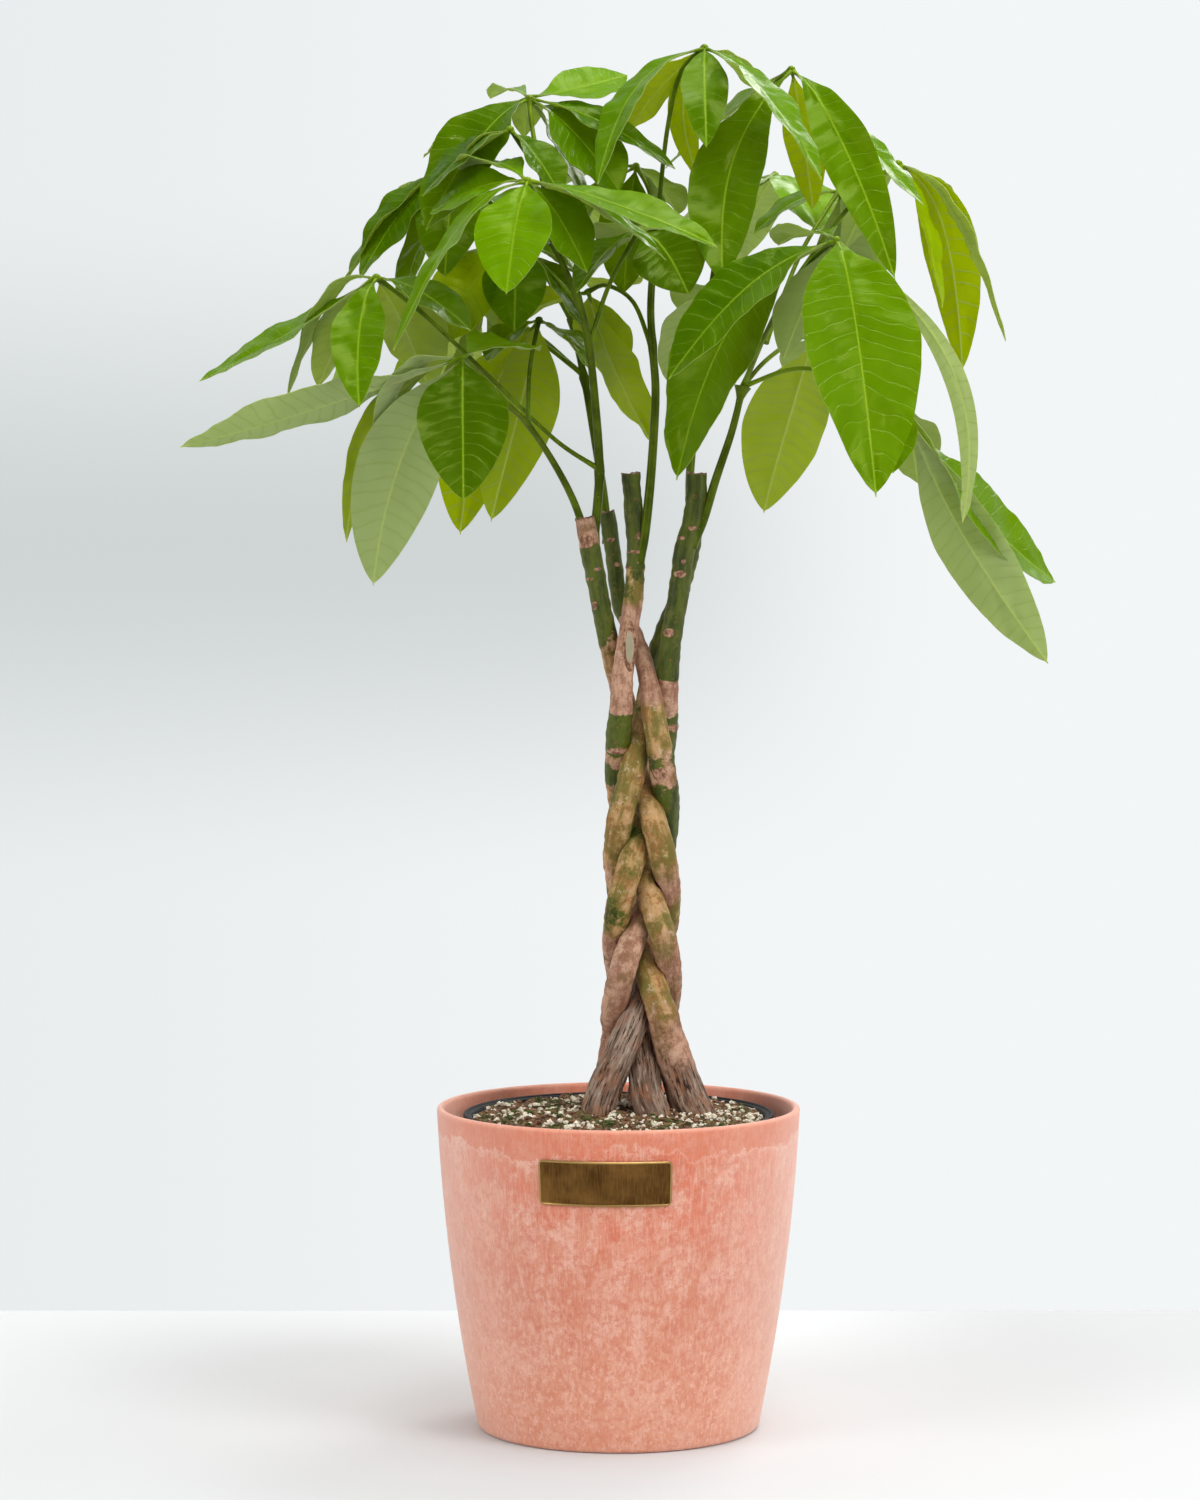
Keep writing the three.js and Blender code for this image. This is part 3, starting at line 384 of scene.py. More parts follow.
class Form:
    """The points, faces and marks of one piece, gathered part by part."""

    def __init__(self, *marks):
        self.points, self.faces, self.slots, self.count = [], [], [], 0
        self.marks = {name: [] for name in marks}

    def add(self, points, faces, slot=0, **marks):
        points = np.asarray(points, float).reshape(-1, 3)
        self.points.append(points)
        for block in faces:
            self.faces += (np.asarray(block, int) + self.count).tolist()
            self.slots += [slot] * len(block)
        for name, rows in self.marks.items():
            mark = np.asarray(marks.get(name, (0, 0, 0)), float).reshape(-1, 3)
            rows.append(np.broadcast_to(mark, points.shape))
        self.count += len(points)

    def build(self, name, materials, slot, *nodes, crease=50):
        mesh = bpy.data.meshes.new(name)
        inside = np.clip(np.vstack(self.points), cad_box[0], cad_box[1])
        mesh.from_pydata(inside.tolist(), [], self.faces)
        for material in materials:
            mesh.materials.append(material)
        mesh.polygons.foreach_set("material_index", self.slots)
        for mark, rows in self.marks.items():
            layer = mesh.attributes.new(mark, "FLOAT_VECTOR", "POINT")
            layer.data.foreach_set("vector", np.vstack(rows).astype(np.float32).ravel())
        mesh.shade_smooth()
        mesh.set_sharp_from_angle(angle=math.radians(crease))
        piece = place_object(name, mesh)
        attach(piece, "root")
        if nodes:
            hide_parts(*nodes)
        return piece


def sheet_faces(rows, columns, closed=False):
    """Quads of a grid of points, row by row. A closed grid joins its last column to its first."""
    i, j = np.meshgrid(np.arange(rows - 1), np.arange(columns if closed else columns - 1), indexing="ij")
    a = i * columns + j
    b = i * columns + (j + 1) % columns
    return np.stack((a, b, b + columns, a + columns), axis=-1).reshape(-1, 4)


def rim_faces(rows, columns, flip=False):
    """Quads round the edge between a sheet of points and a second one that follows it."""
    grid = np.arange(rows * columns).reshape(rows, columns)
    loop = np.concatenate((grid[0, :-1], grid[:-1, -1], grid[-1, :0:-1], grid[:0:-1, 0]))
    if flip:
        loop = loop[::-1]
    after = np.roll(loop, -1)
    return np.stack((loop, after, after + grid.size, loop + grid.size), axis=-1)


def fan_faces(ring, centre):
    """Triangles from a ring of points to its centre, facing the side from which it runs anticlockwise."""
    ring = np.asarray(ring)
    return np.stack((ring, np.roll(ring, -1), np.full(len(ring), centre)), axis=-1)


def ring_body(rings, start, end):
    """A closed body from rings of points and the middles of its two ends: its points and faces."""
    count, sides = rings.shape[:2]
    last = (count - 1) * sides
    points = np.vstack((rings.reshape(-1, 3), start, end))
    caps = np.vstack((fan_faces(np.arange(sides)[::-1], last + sides),
                      fan_faces(last + np.arange(sides), last + sides + 1)))
    return points, [sheet_faces(count, sides, closed=True), caps]


def spokes_along(path, sides):
    """Directions out from each point of a path, turned as little as possible along it, and their angles."""
    ahead = unit(np.gradient(path, axis=0))
    across = np.array((0.0, 1.0, 0.0)) if abs(ahead[0][0]) > 0.8 else np.array((1.0, 0.0, 0.0))
    first = []
    for direction in ahead:
        across = unit(across - direction * (across @ direction))
        first.append(across)
    first = np.array(first)
    second = np.cross(ahead, first)
    angle = np.arange(sides) * 2 * math.pi / sides
    return first[:, None] * np.cos(angle)[:, None] + second[:, None] * np.sin(angle)[:, None], angle


def tube(path, radii, sides=10):
    """A closed tube: its points and faces."""
    spokes, _ = spokes_along(path, sides)
    rings = path[:, None] + spokes * np.broadcast_to(radii, len(path))[:, None, None]
    return ring_body(rings, path[0], path[-1])


def revolve(profile, segments):
    """A closed body turned about Z from (radius, height) pairs that start and end on the axis."""
    inner = np.array(profile[1:-1], float)
    angle = np.arange(segments) * 2 * math.pi / segments
    rings = np.stack((inner[:, :1] * np.cos(angle), inner[:, :1] * np.sin(angle),
                      np.repeat(inner[:, 1:], segments, axis=1)), axis=-1)
    return ring_body(rings, (0, 0, profile[0][1]), (0, 0, profile[-1][1]))


def arc(centre, radius, start, end, count):
    """Points of an arc in the profile's plane, from one angle to the other in degrees."""
    angles = np.radians(np.linspace(start, end, count))
    return [(centre[0] + radius * math.cos(a), centre[1] + radius * math.sin(a)) for a in angles]


# Shader helpers
class Nodes:
    """The node tree of a new material or world, with short calls for its usual nodes."""

    def __init__(self, name, world=False):
        self.owner = bpy.data.worlds.new(name) if world else bpy.data.materials.new(name)
        self.owner.use_nodes = True
        self.tree = self.owner.node_tree
        self.surface = self.tree.nodes["Background" if world else "Principled BSDF"]
        self.output = self.tree.nodes["World Output" if world else "Material Output"]
        self.place = self.node("ShaderNodeTexCoord", {})["Generated" if world else "Object"]

    def put(self, socket, value):
        if isinstance(value, bpy.types.NodeSocket):
            self.tree.links.new(value, socket)
        else:
            socket.default_value = value

    def node(self, kind, inputs, **settings):
        """The outputs of a new node with those settings and inputs, each by its name or number."""
        made = self.tree.nodes.new(kind)
        for key, value in settings.items():
            setattr(made, key, value)
        for key, value in inputs.items():
            self.put(made.inputs[key], value)
        return made.outputs

    def calc(self, operation, first, second=0.0):
        return self.node("ShaderNodeMath", {0: first, 1: second}, operation=operation)[0]

    def times(self, first, second):
        return self.calc("MULTIPLY", first, second)

    def plus(self, first, second):
        return self.calc("ADD", first, second)

    def less(self, first, second):
        return self.calc("SUBTRACT", first, second)

    def without_sign(self, value):
        return self.calc("ABSOLUTE", value)

    def ramp(self, value, low, high, to_low=0.0, to_high=1.0):
        """An S curve from one value at low to another at high."""
        ends = {"From Min": low, "From Max": high, "To Min": to_low, "To Max": to_high}
        return self.node("ShaderNodeMapRange", {"Value": value, **ends},
                         interpolation_type="SMOOTHSTEP")["Result"]

    def mix(self, share, first, second, blend="MIX"):
        return self.node("ShaderNodeMix", {0: share, 6: first, 7: second},
                         data_type="RGBA", blend_type=blend)[2]

    def coat(self, under, over, where, strength):
        """One colour laid over another where a value is high, at most at that strength."""
        return self.mix(self.times(where, strength), under, over)

    def stretch(self, place, *scale):
        return self.node("ShaderNodeMapping", {"Vector": place, "Scale": scale})["Vector"]

    def noise(self, size, detail=3.0, rough=0.55, place=None):
        """Noise from 0 to 1 with lumps of that size in metres."""
        looks = {"Scale": 1 / size, "Detail": detail, "Roughness": rough}
        return self.node("ShaderNodeTexNoise", {"Vector": place or self.place, **looks})["Fac"]

    def cells(self, size, feature="F1"):
        """The distance to the nearest of scattered points, in cells of that size."""
        return self.node("ShaderNodeTexVoronoi", {"Vector": self.place, "Scale": 1 / size},
                         feature=feature)["Distance"]

    def split(self, vector):
        return tuple(self.node("ShaderNodeSeparateXYZ", {0: vector}))

    def carried(self, name):
        """A mark that the mesh carries."""
        return self.node("ShaderNodeAttribute", {}, attribute_name=name)["Vector"]

    def seen_directly(self):
        """1 for what the picture shows directly and 0 for what only gives light."""
        return self.node("ShaderNodeLightPath", {})["Is Camera Ray"]

    def bump(self, height, depth):
        normal = self.node("ShaderNodeBump", {"Height": height, "Distance": depth})["Normal"]
        self.put(self.surface.inputs["Normal"], normal)

    def finish(self, **sockets):
        for name, value in sockets.items():
            self.put(self.surface.inputs[name.replace("_", " ")], value)
        return self.owner

    def show_both(self, share, first, second):
        """Shows two shaders at once, the second one at that share."""
        both = self.node("ShaderNodeMixShader", {0: share, 1: first, 2: second})[0]
        self.put(self.output.inputs["Surface"], both)

    def glow_through(self, colour, share):
        """Lets light from behind through a thin leaf."""
        back = self.node("ShaderNodeBsdfTranslucent", {"Color": colour})[0]
        self.show_both(share, self.surface.outputs[0], back)


# Materials
def planter_material():
    s = Nodes("planter_wash")
    x, _, height = s.split(s.place)
    upright = s.stretch(s.place, 1, 1, 0.7)
    broad = s.noise(0.034, 6, 0.72, upright)
    patch = s.noise(0.0085, 8, 0.78, upright)
    grain = s.noise(0.0013, 3, 0.65, s.stretch(s.place, 1, 1, 0.08))
    chalk = s.noise(0.0030, 6, 0.8, upright)
    colour = s.mix(s.ramp(broad, 0.35, 0.65), rgb(214, 130, 98), rgb(222, 148, 120))
    wash = s.plus(s.times(broad, 0.5), s.times(patch, 0.7))
    colour = s.coat(colour, rgb(234, 180, 160), s.ramp(wash, 0.60, 0.66), 0.30)
    lace = s.ramp(s.noise(0.014, 10, 0.78, upright), 0.52, 0.535)
    colour = s.coat(colour, rgb(242, 196, 178), lace, 0.26)
    rosy = s.ramp(s.noise(0.010, 9, 0.82), 0.53, 0.545)
    colour = s.coat(colour, rgb(206, 110, 86), rosy, 0.45)
    deep = s.times(s.ramp(s.noise(0.021, 9, 0.80), 0.50, 0.53), s.ramp(height, 0.105, 0.175))
    colour = s.coat(colour, rgb(219, 108, 72), deep, 0.62)
    colour = s.coat(colour, rgb(238, 192, 174), s.ramp(grain, 0.44, 0.68), 0.40)
    vein = s.without_sign(s.less(s.noise(0.030, 7, 0.72, upright), 0.5))
    crazed = s.times(s.ramp(vein, 0.010, 0.0), s.ramp(broad, 0.42, 0.56))
    colour = s.coat(colour, rgb(248, 214, 200), crazed, 0.45)
    low = s.ramp(height, 0.120, 0.030)
    spots = s.ramp(s.noise(0.0055, 8, 0.78), 0.53, 0.545)
    colour = s.coat(colour, rgb(204, 98, 68), spots, 0.42)
    # Painted sheen: the wash is painted paler towards the left and right sides, where light grazes the curve
    side = s.ramp(s.without_sign(x), 0.040, 0.120, 0.0, 0.35)
    colour = s.mix(side, colour, rgb(238, 196, 180))
    crack = s.times(s.ramp(chalk, 0.54, 0.58), low)
    colour = s.coat(colour, rgb(248, 208, 190), crack, 0.62)
    fleck = s.times(s.ramp(s.noise(0.0048, 6, 0.8), 0.60, 0.62), s.ramp(height, 0.075, 0.015))
    colour = s.coat(colour, rgb(238, 142, 84), fleck, 0.70)
    colour = s.mix(s.ramp(height, 0.110, 0.020, 0.0, 0.30), colour, rgb(240, 164, 130))
    waver = s.times(s.noise(0.028, 9, 0.72), 0.060)
    level = s.plus(height, waver)
    band = s.ramp(level, 0.2325, 0.2335)
    colour = s.coat(colour, rgb(216, 122, 90), band, 0.55)
    tide = s.times(s.ramp(level, 0.2285, 0.2320), s.ramp(level, 0.2335, 0.2325))
    colour = s.coat(colour, rgb(244, 206, 190), tide, 0.26)
    rim = s.ramp(height, 0.2165, 0.2192)
    colour = s.coat(colour, rgb(238, 176, 150), rim, 0.35)
    s.bump(s.plus(grain, s.times(chalk, 0.7)), 0.00025)
    return s.finish(Base_Color=colour, Roughness=s.ramp(patch, 0.3, 0.7, 0.50, 0.66),
                    Sheen_Weight=0.45, Sheen_Tint=(1.0, 0.86, 0.80, 1))


def pot_material():
    s = Nodes("pot_plastic")
    scuff = s.noise(0.006, 4, 0.6)
    colour = s.mix(s.ramp(scuff, 0.45, 0.7), rgb(12, 12, 12), rgb(38, 36, 33))
    s.bump(scuff, 0.0002)
    return s.finish(Base_Color=colour, Roughness=s.ramp(scuff, 0.3, 0.7, 0.50, 0.65),
                    Specular_IOR_Level=0.15)


def plate_material():
    s = Nodes("antique_brass")
    edge, _, _ = s.split(s.carried("plate"))
    brushed = s.noise(0.0009, 3, 0.6, s.stretch(s.place, 1, 1, 0.03))
    cloud = s.noise(0.018, 3, 0.6)
    colour = s.mix(s.ramp(cloud, 0.3, 0.72), rgb(84, 56, 26), rgb(126, 90, 46))
    colour = s.coat(colour, rgb(150, 114, 64), s.ramp(brushed, 0.4, 0.7), 0.3)
    colour = s.coat(colour, rgb(206, 172, 108), s.ramp(edge, 0.35, 0.75), 0.6)
    s.bump(brushed, 0.00006)
    return s.finish(Base_Color=colour, Metallic=1.0, Roughness=s.ramp(brushed, 0.3, 0.7, 0.30, 0.44))


def soil_material():
    s = Nodes("soil_crumb")
    crumb = s.noise(0.003, 6, 0.75)
    moss = s.ramp(s.noise(0.020, 4, 0.7), 0.47, 0.58)
    colour = s.mix(s.ramp(crumb, 0.38, 0.62), rgb(52, 34, 22), rgb(146, 108, 74))
    green = s.mix(s.ramp(crumb, 0.38, 0.66), rgb(48, 46, 18), rgb(112, 106, 50))
    colour = s.coat(colour, green, moss, 0.8)
    s.bump(crumb, 0.0012)
    return s.finish(Base_Color=colour, Roughness=0.95)


def plain_grain(name, dark, light, size, rough, depth):
    """A rough material that varies between two colours over that size."""
    s = Nodes(name)
    lump = s.noise(size, 4, 0.65)
    s.bump(lump, depth)
    colour = s.mix(s.ramp(lump, 0.35, 0.66), dark, light)
    return s.finish(Base_Color=colour, Roughness=rough)


def bark_material():
    s = Nodes("bark")
    green, ochre, grey = s.split(s.carried("bark"))
    scar, pale, cut = s.split(s.carried("scar"))
    split = s.carried("grain")
    lump = s.noise(0.016, 5, 0.68)
    fleck = s.noise(0.0032, 5, 0.7)
    strand = s.noise(0.0016, 4, 0.7, s.stretch(split, 1, 1, 0.11))
    wide = s.noise(0.0040, 4, 0.6, s.stretch(split, 1, 1, 0.13))
    ring = s.noise(0.0022, 3, 0.6, s.stretch(split, 0.12, 0.12, 1))
    ragged = s.plus(s.times(s.less(lump, 0.5), 1.5), s.times(s.less(fleck, 0.5), 0.5))

    def where(share, soft=0.06):
        return s.ramp(s.plus(share, ragged), 0.5 - soft, 0.5 + soft)

    drift = s.noise(0.012, 5, 0.7, s.stretch(split, 1, 1, 0.35))
    scurf = s.noise(0.0080, 7, 0.78)
    tan = s.mix(s.ramp(drift, 0.36, 0.60), rgb(148, 104, 82), rgb(196, 154, 128))
    tan = s.coat(tan, rgb(126, 88, 70), s.ramp(ring, 0.5, 0.72), 0.35)
    tan = s.coat(tan, rgb(132, 86, 62), s.ramp(scurf, 0.51, 0.54), 0.55)
    tan = s.coat(tan, rgb(212, 182, 158), s.ramp(scurf, 0.43, 0.40), 0.45)
    gold = s.mix(s.ramp(drift, 0.40, 0.62), rgb(120, 104, 42), rgb(188, 148, 98))
    gold = s.coat(gold, rgb(146, 86, 44), s.ramp(scurf, 0.51, 0.54), 0.62)
    gold = s.coat(gold, rgb(206, 184, 152), s.ramp(scurf, 0.42, 0.38), 0.50)
    gold = s.coat(gold, rgb(98, 100, 38), s.ramp(lump, 0.46, 0.62), 0.70)
    leafy = s.mix(s.ramp(drift, 0.34, 0.62), rgb(42, 54, 4), rgb(82, 92, 16))
    leafy = s.coat(leafy, rgb(116, 108, 48), s.ramp(scurf, 0.54, 0.60), 0.35)
    worn = s.mix(s.ramp(wide, 0.36, 0.64), rgb(106, 82, 66), rgb(166, 142, 124))
    worn = s.coat(worn, rgb(158, 104, 74), s.ramp(lump, 0.46, 0.60), 0.6)
    # Painted shade and painted highlight: the grooves of the strand bump are painted dark and its ridges
    # whitish, over the grey bark's own colour
    worn = s.mix(s.ramp(strand, 0.48, 0.40), worn, rgb(56, 38, 28))
    worn = s.coat(worn, rgb(204, 190, 174), s.ramp(strand, 0.58, 0.66), 0.65)
    colour = s.mix(where(ochre, 0.30), tan, gold)
    colour = s.mix(where(grey, 0.25), colour, worn)
    colour = s.mix(where(green), colour, leafy)
    spot = s.ramp(s.cells(0.0065), 0.14, 0.10)
    colour = s.coat(colour, rgb(132, 84, 56), spot, 0.7)
    colour = s.mix(s.ramp(s.plus(scar, s.times(ragged, 0.4)), 0.44, 0.56), colour,
                   s.mix(s.ramp(fleck, 0.4, 0.62), rgb(106, 68, 48), rgb(186, 142, 114)))
    colour = s.coat(colour, rgb(164, 164, 138), s.ramp(pale, 0.4, 0.6), 0.75)
    cut_wood = s.mix(s.ramp(fleck, 0.4, 0.6), rgb(84, 58, 40), rgb(140, 106, 78))
    colour = s.mix(s.ramp(cut, 0.4, 0.6), colour, cut_wood)
    s.bump(s.plus(s.times(strand, s.ramp(grey, 0.0, 1.0, 0.25, 1.6)), s.times(fleck, 0.4)), 0.0007)
    return s.finish(Base_Color=colour, Roughness=s.ramp(green, 0.2, 0.9, 0.72, 0.50),
                    Specular_IOR_Level=0.3)


def stem_material(name, dark, light):
    s = Nodes(name)
    fleck = s.noise(0.0030, 4, 0.6)
    colour = s.mix(s.ramp(s.noise(0.020, 3), 0.35, 0.65), dark, light)
    spot = s.ramp(s.cells(0.0042), 0.14, 0.08)
    colour = s.coat(colour, rgb(146, 150, 84), spot, 0.5)
    s.bump(fleck, 0.0002)
    return s.finish(Base_Color=colour, Roughness=0.38, Specular_Tint=LEAF_SHEEN,
                    Specular_IOR_Level=0.4)


def leaf_material(name, tones, vein, midrib, rough, through, share, relief, painted_shade, clear):
    """One face of a leaf: tones from dark to light to a yellow partly of painted glow, veins raised or sunk.

    The mark leaf holds the vein count, the distance from the midrib and the tone. Through is the colour of
    light from behind, share its part, painted_shade how dark a painted shadow line beside the veins is and
    clear how much they show.
    """
    s = Nodes(name)
    count, across, tone = s.split(s.carried("leaf"))
    count = s.plus(count, s.times(s.calc("LESS_THAN", across, 0.0), 0.5))
    count = s.plus(count, s.times(s.noise(0.026, 2, 0.5), 1.4))
    aside = s.without_sign(across)
    near = s.without_sign(s.less(s.calc("FRACT", count), 0.5))
    line = s.ramp(near, 0.42, 0.47)
    rib = s.ramp(aside, 0.0009, 0.0003)
    mottle = s.noise(0.018, 3, 0.6)
    lightness = s.plus(tone, s.times(s.less(mottle, 0.5), 0.35))
    # Painted light: the dark end of the tones partly stands for shade, and the yellow end is partly a
    # painted glow of light through the leaf
    dark, light, young_and_painted_glow = tones
    colour = s.mix(s.ramp(lightness, 0.0, 1.0), dark, light)
    colour = s.mix(s.ramp(lightness, 1.0, 2.0), colour, young_and_painted_glow)
    # Painted shadow: a dark line is painted beside each vein, as if the raised vein shaded the blade
    beside = s.times(s.ramp(near, 0.30, 0.40), painted_shade)
    colour = s.mix(beside, colour, (0.6, 0.66, 0.5, 1), "MULTIPLY")
    colour = s.coat(colour, vein, line, clear)
    colour = s.coat(colour, midrib, rib, 0.65)
    net = s.cells(0.0022, feature="DISTANCE_TO_EDGE")
    skin = s.plus(s.ramp(net, 0.0, 0.25, 0.0, 0.35), s.times(mottle, 0.5))
    s.bump(s.plus(skin, s.times(line, relief)), 0.00008)
    passed = s.mix(s.ramp(lightness, 1.0, 1.8), *through)
    passed = s.coat(passed, rgb(110, 130, 0), line, 0.22)
    s.glow_through(s.coat(passed, midrib, rib, 0.6), share)
    return s.finish(Base_Color=colour, Roughness=s.ramp(mottle, 0.3, 0.7, rough, rough + 0.08),
                    Specular_Tint=LEAF_SHEEN, Specular_IOR_Level=0.30)


# Pieces: planter, nursery pot, soil and plate
def wall_radius(z):
    """The planter's outer radius at that height."""
    return bow(z / PLANTER["height"], PLANTER["base"], PLANTER["belly"], PLANTER["rim"])


def make_planter(material):
    height, wall, floor = PLANTER["height"], PLANTER["wall"], PLANTER["floor"]
    foot, round_edge = PLANTER["foot"], PLANTER["lip"]
    hollow, hollow_radius = PLANTER["hollow"], PLANTER["hollow_radius"]
    profile = [(0, hollow), (hollow_radius, hollow), (hollow_radius + 0.002, 0), (wall_radius(0) - foot, 0)]
    profile += arc((wall_radius(foot) - foot, foot), foot, -75, -15, 5)
    profile = [(min(r, wall_radius(z)), z) for r, z in profile]
    profile += [(wall_radius(z), z) for z in np.linspace(foot, height - round_edge, 40)]
    rim = (wall_radius(height) - wall / 2, height - round_edge)
    profile += arc(rim, round_edge, 20, 160, 8)
    profile += [(wall_radius(z) - wall, z) for z in np.linspace(height - round_edge, floor + 0.005, 24)]
    profile += [(wall_radius(floor) - wall - 0.005, floor), (0, floor)]
    form = Form()
    points, faces = revolve(profile, 180)
    unevenness = 1 + ripple(points, 0.06, 5) * 0.0002 * smooth(points[:, 2], 0.01, 0.05)
    points[:, :2] *= np.minimum(unevenness, 1)[:, None]
    form.add(points, faces)
    form.build("planter_shell", [material], "planter", "planter", crease=60)


def pot_radius(z):
    """The grow pot's outer radius at that height, below its lip."""
    bottom = PLANTER["floor"] + GAP
    share = (z - bottom) / (POT["top"] - bottom)
    return POT["base_radius"] + (POT["top_radius"] - POT["base_radius"]) * share


def make_pot(material):
    bottom, top, wall = PLANTER["floor"] + GAP, POT["top"], POT["wall"]
    lip_low = top - POT["lip_height"]
    profile = [(0, bottom), (pot_radius(bottom) - 0.002, bottom), (pot_radius(bottom), bottom + 0.002)]
    profile += [(pot_radius(z), z) for z in np.linspace(bottom + 0.01, lip_low, 12)]
    rim = POT["rim"]
    profile += [(rim - POT["lip"] / 2, lip_low + 0.001), (rim - 0.0008, lip_low + 0.0022)]
    profile += [(rim - inward, top - down) for inward, down in POT_LIP]
    profile += [(pot_radius(top) - wall, top - 0.0022)]
    profile += [(pot_radius(z) - wall, z) for z in np.linspace(top - 0.006, bottom + wall, 12)]
    profile += [(0, bottom + wall)]
    form = Form()
    form.add(*revolve(profile, 160))
    pot = form.build("pot_shell", [material], "nursery_pot", "nursery_pot", crease=60)
    for k in range(POT["holes"]):
        angle = 2 * math.pi * k / POT["holes"]
        place = (POT["hole_circle"] * math.cos(angle), POT["hole_circle"] * math.sin(angle), bottom)
        bpy.ops.mesh.primitive_cylinder_add(vertices=32, radius=POT["hole_radius"], depth=0.008,
                                            location=place)
        drill = bpy.context.object
        cut = pot.modifiers.new("hole", "BOOLEAN")
        cut.operation, cut.object, cut.solver = "DIFFERENCE", drill, "EXACT"
        bpy.context.view_layer.objects.active = pot
        bpy.ops.object.modifier_apply(modifier=cut.name)
        bpy.data.objects.remove(drill)


def soil_height(r):
    """The height of the soil's smooth dome at a distance from its middle."""
    heights = (SOIL["crown"], SOIL["crown"] - 0.0015, SOIL["shoulder"], SOIL["edge"])
    return np.interp(r, (0, 0.045, 0.080, SOIL["radius"]), heights)


def soil_top(points):
    """The height of the soil's crumbly surface at each point."""
    r = np.hypot(points[..., 0], points[..., 1])
    flat = points * (1, 1, 0)
    rough = sum(height * ripple(flat, size, seed) for height, size, seed in SOIL_LUMPS)
    return soil_height(r) + np.clip(rough, -0.003, 0.003) * smooth(r, SOIL["radius"], 0.094)


def make_soil(material):
    inside = POT["wall"] + GAP
    bottom = PLANTER["floor"] + POT["wall"] + 2 * GAP
    edge = pot_radius(SOIL["edge"]) - inside - 0.0005
    profile = [(0, bottom)]
    profile += [(pot_radius(z) - inside, z) for z in np.linspace(bottom, SOIL["edge"] - 0.004, 8)]
    profile += [(r, soil_height(r)) for r in np.linspace(edge, 0.001, 84)]
    profile += [(0, SOIL["crown"])]
    points, faces = revolve(profile, 240)
    top = points[:, 2] > SOIL["edge"] - 0.001
    points[top, 2] = soil_top(points[top])
    form = Form()
    form.add(points, faces)
    form.build("soil_bed", [material], "soil", "soil", crease=180)


def ball():
    """The points and triangles of a ball of radius 1."""
    bpy.ops.mesh.primitive_ico_sphere_add(subdivisions=2, radius=1)
    made = bpy.context.object
    points = np.array([v.co for v in made.data.vertices])
    faces = np.array([p.vertices[:] for p in made.data.polygons])
    bpy.data.objects.remove(made)
    return points, faces


BALL = ball()


def scatter(material, count, sizes, lumpy, flat, sink, seed, favour):
    """Grains over the soil. favour says how likely a place is, from 0 to 1."""
    source = np.random.default_rng(seed)
    points, faces = BALL
    feet = [(trunk_path(trunk, 0.0025)[:40], trunk["radii"][0]) for trunk in TRUNKS.values()]
    form = Form()
    made = 0
    while made < count:
        r, angle = SOIL["strewn"] * math.sqrt(source.uniform()), source.uniform(0, 2 * math.pi)
        spot = np.array((r * math.cos(angle), r * math.sin(angle), 0.0))
        if source.uniform() > favour(spot):
            continue
        spot[2] = soil_top(spot)
        size = sizes[0] + (sizes[1] - sizes[0]) * source.uniform() ** 2
        clear = min(np.linalg.norm(path - spot, axis=1).min() - radius for path, radius in feet)
        if clear < size * 0.4:
            continue
        shape = points * (1 + lumpy * source.normal(size=(len(points), 1)).clip(-1.6, 1.6))
        shape = shape * source.uniform(0.65, 1.15, size=3) * (1, 1, flat)
        turn = source.uniform(0, 2 * math.pi)
        turned = np.stack((shape[:, 0] * math.cos(turn) - shape[:, 1] * math.sin(turn),
                           shape[:, 0] * math.sin(turn) + shape[:, 1] * math.cos(turn), shape[:, 2]), axis=1)
        form.add(spot + turned * size + UP * size * flat * sink, [faces])
        made += 1
    form.build(material.name, [material], "soil", crease=35)


def make_plate(material):
    """The bare plate, bent round the planter, with a sunk face inside a raised border."""
    width, height, corner, thickness = (PLATE[k] for k in ("width", "height", "corner", "thickness"))
    fine = np.array((0, 0.00015, 0.0005, 0.0010, 0.0014, 0.0018, 0.0024, 0.0035))
    across = np.concatenate((fine, np.linspace(0.006, width - 0.006, 40), width - fine[::-1]))
    share = np.concatenate((fine, np.linspace(0.006, height - 0.006, 12), height - fine[::-1])) / height
    short = np.minimum(np.minimum(across, width - across), corner)
    cut = corner - np.sqrt(corner ** 2 - (corner - short) ** 2)
    half = (height / 2 - cut)[:, None]
    z = PLATE["middle"] + half * (2 * share - 1)
    x = np.broadcast_to(across[:, None], z.shape)
    border = np.minimum(np.minimum(x, width - x), half - np.abs(z - PLATE["middle"]))
    raised = 1 - smooth(border, 0.0010, 0.0018)
    lift = thickness - 0.0006 * (1 - raised) - 0.0005 * (1 - smooth(border, 0, 0.0005))
    angle = math.radians(PLATE["bearing"]) + (x - width / 2) / wall_radius(PLATE["middle"])
    sides = []
    for away in (lift, np.zeros_like(lift)):
        radius = wall_radius(z) + GAP + away
        sides.append(np.stack((radius * np.cos(angle), radius * np.sin(angle), z), axis=-1).reshape(-1, 3))
    rows, columns = z.shape
    front = sheet_faces(rows, columns)[:, ::-1]
    back = front[:, ::-1] + rows * columns
    mark = np.stack((raised.ravel(), np.zeros(raised.size), np.zeros(raised.size)), axis=1)
    form = Form("plate")
    form.add(np.vstack(sides), [front, back, rim_faces(rows, columns)],
             plate=np.vstack((mark, mark * 0)))
    form.build("plate_bare", [material], "plate", "name_plate", crease=40)


# Stems of the braid
def crossing_number(z):
    """The number of the crossing at that height, counted from the top, with its fraction."""
    heights = BRAID["crossings"]
    i = next((k for k in range(len(heights) - 1) if heights[k + 1] <= z <= heights[k]), len(heights) - 2)
    return i + 1 + (heights[i] - z) / (heights[i] - heights[i + 1])


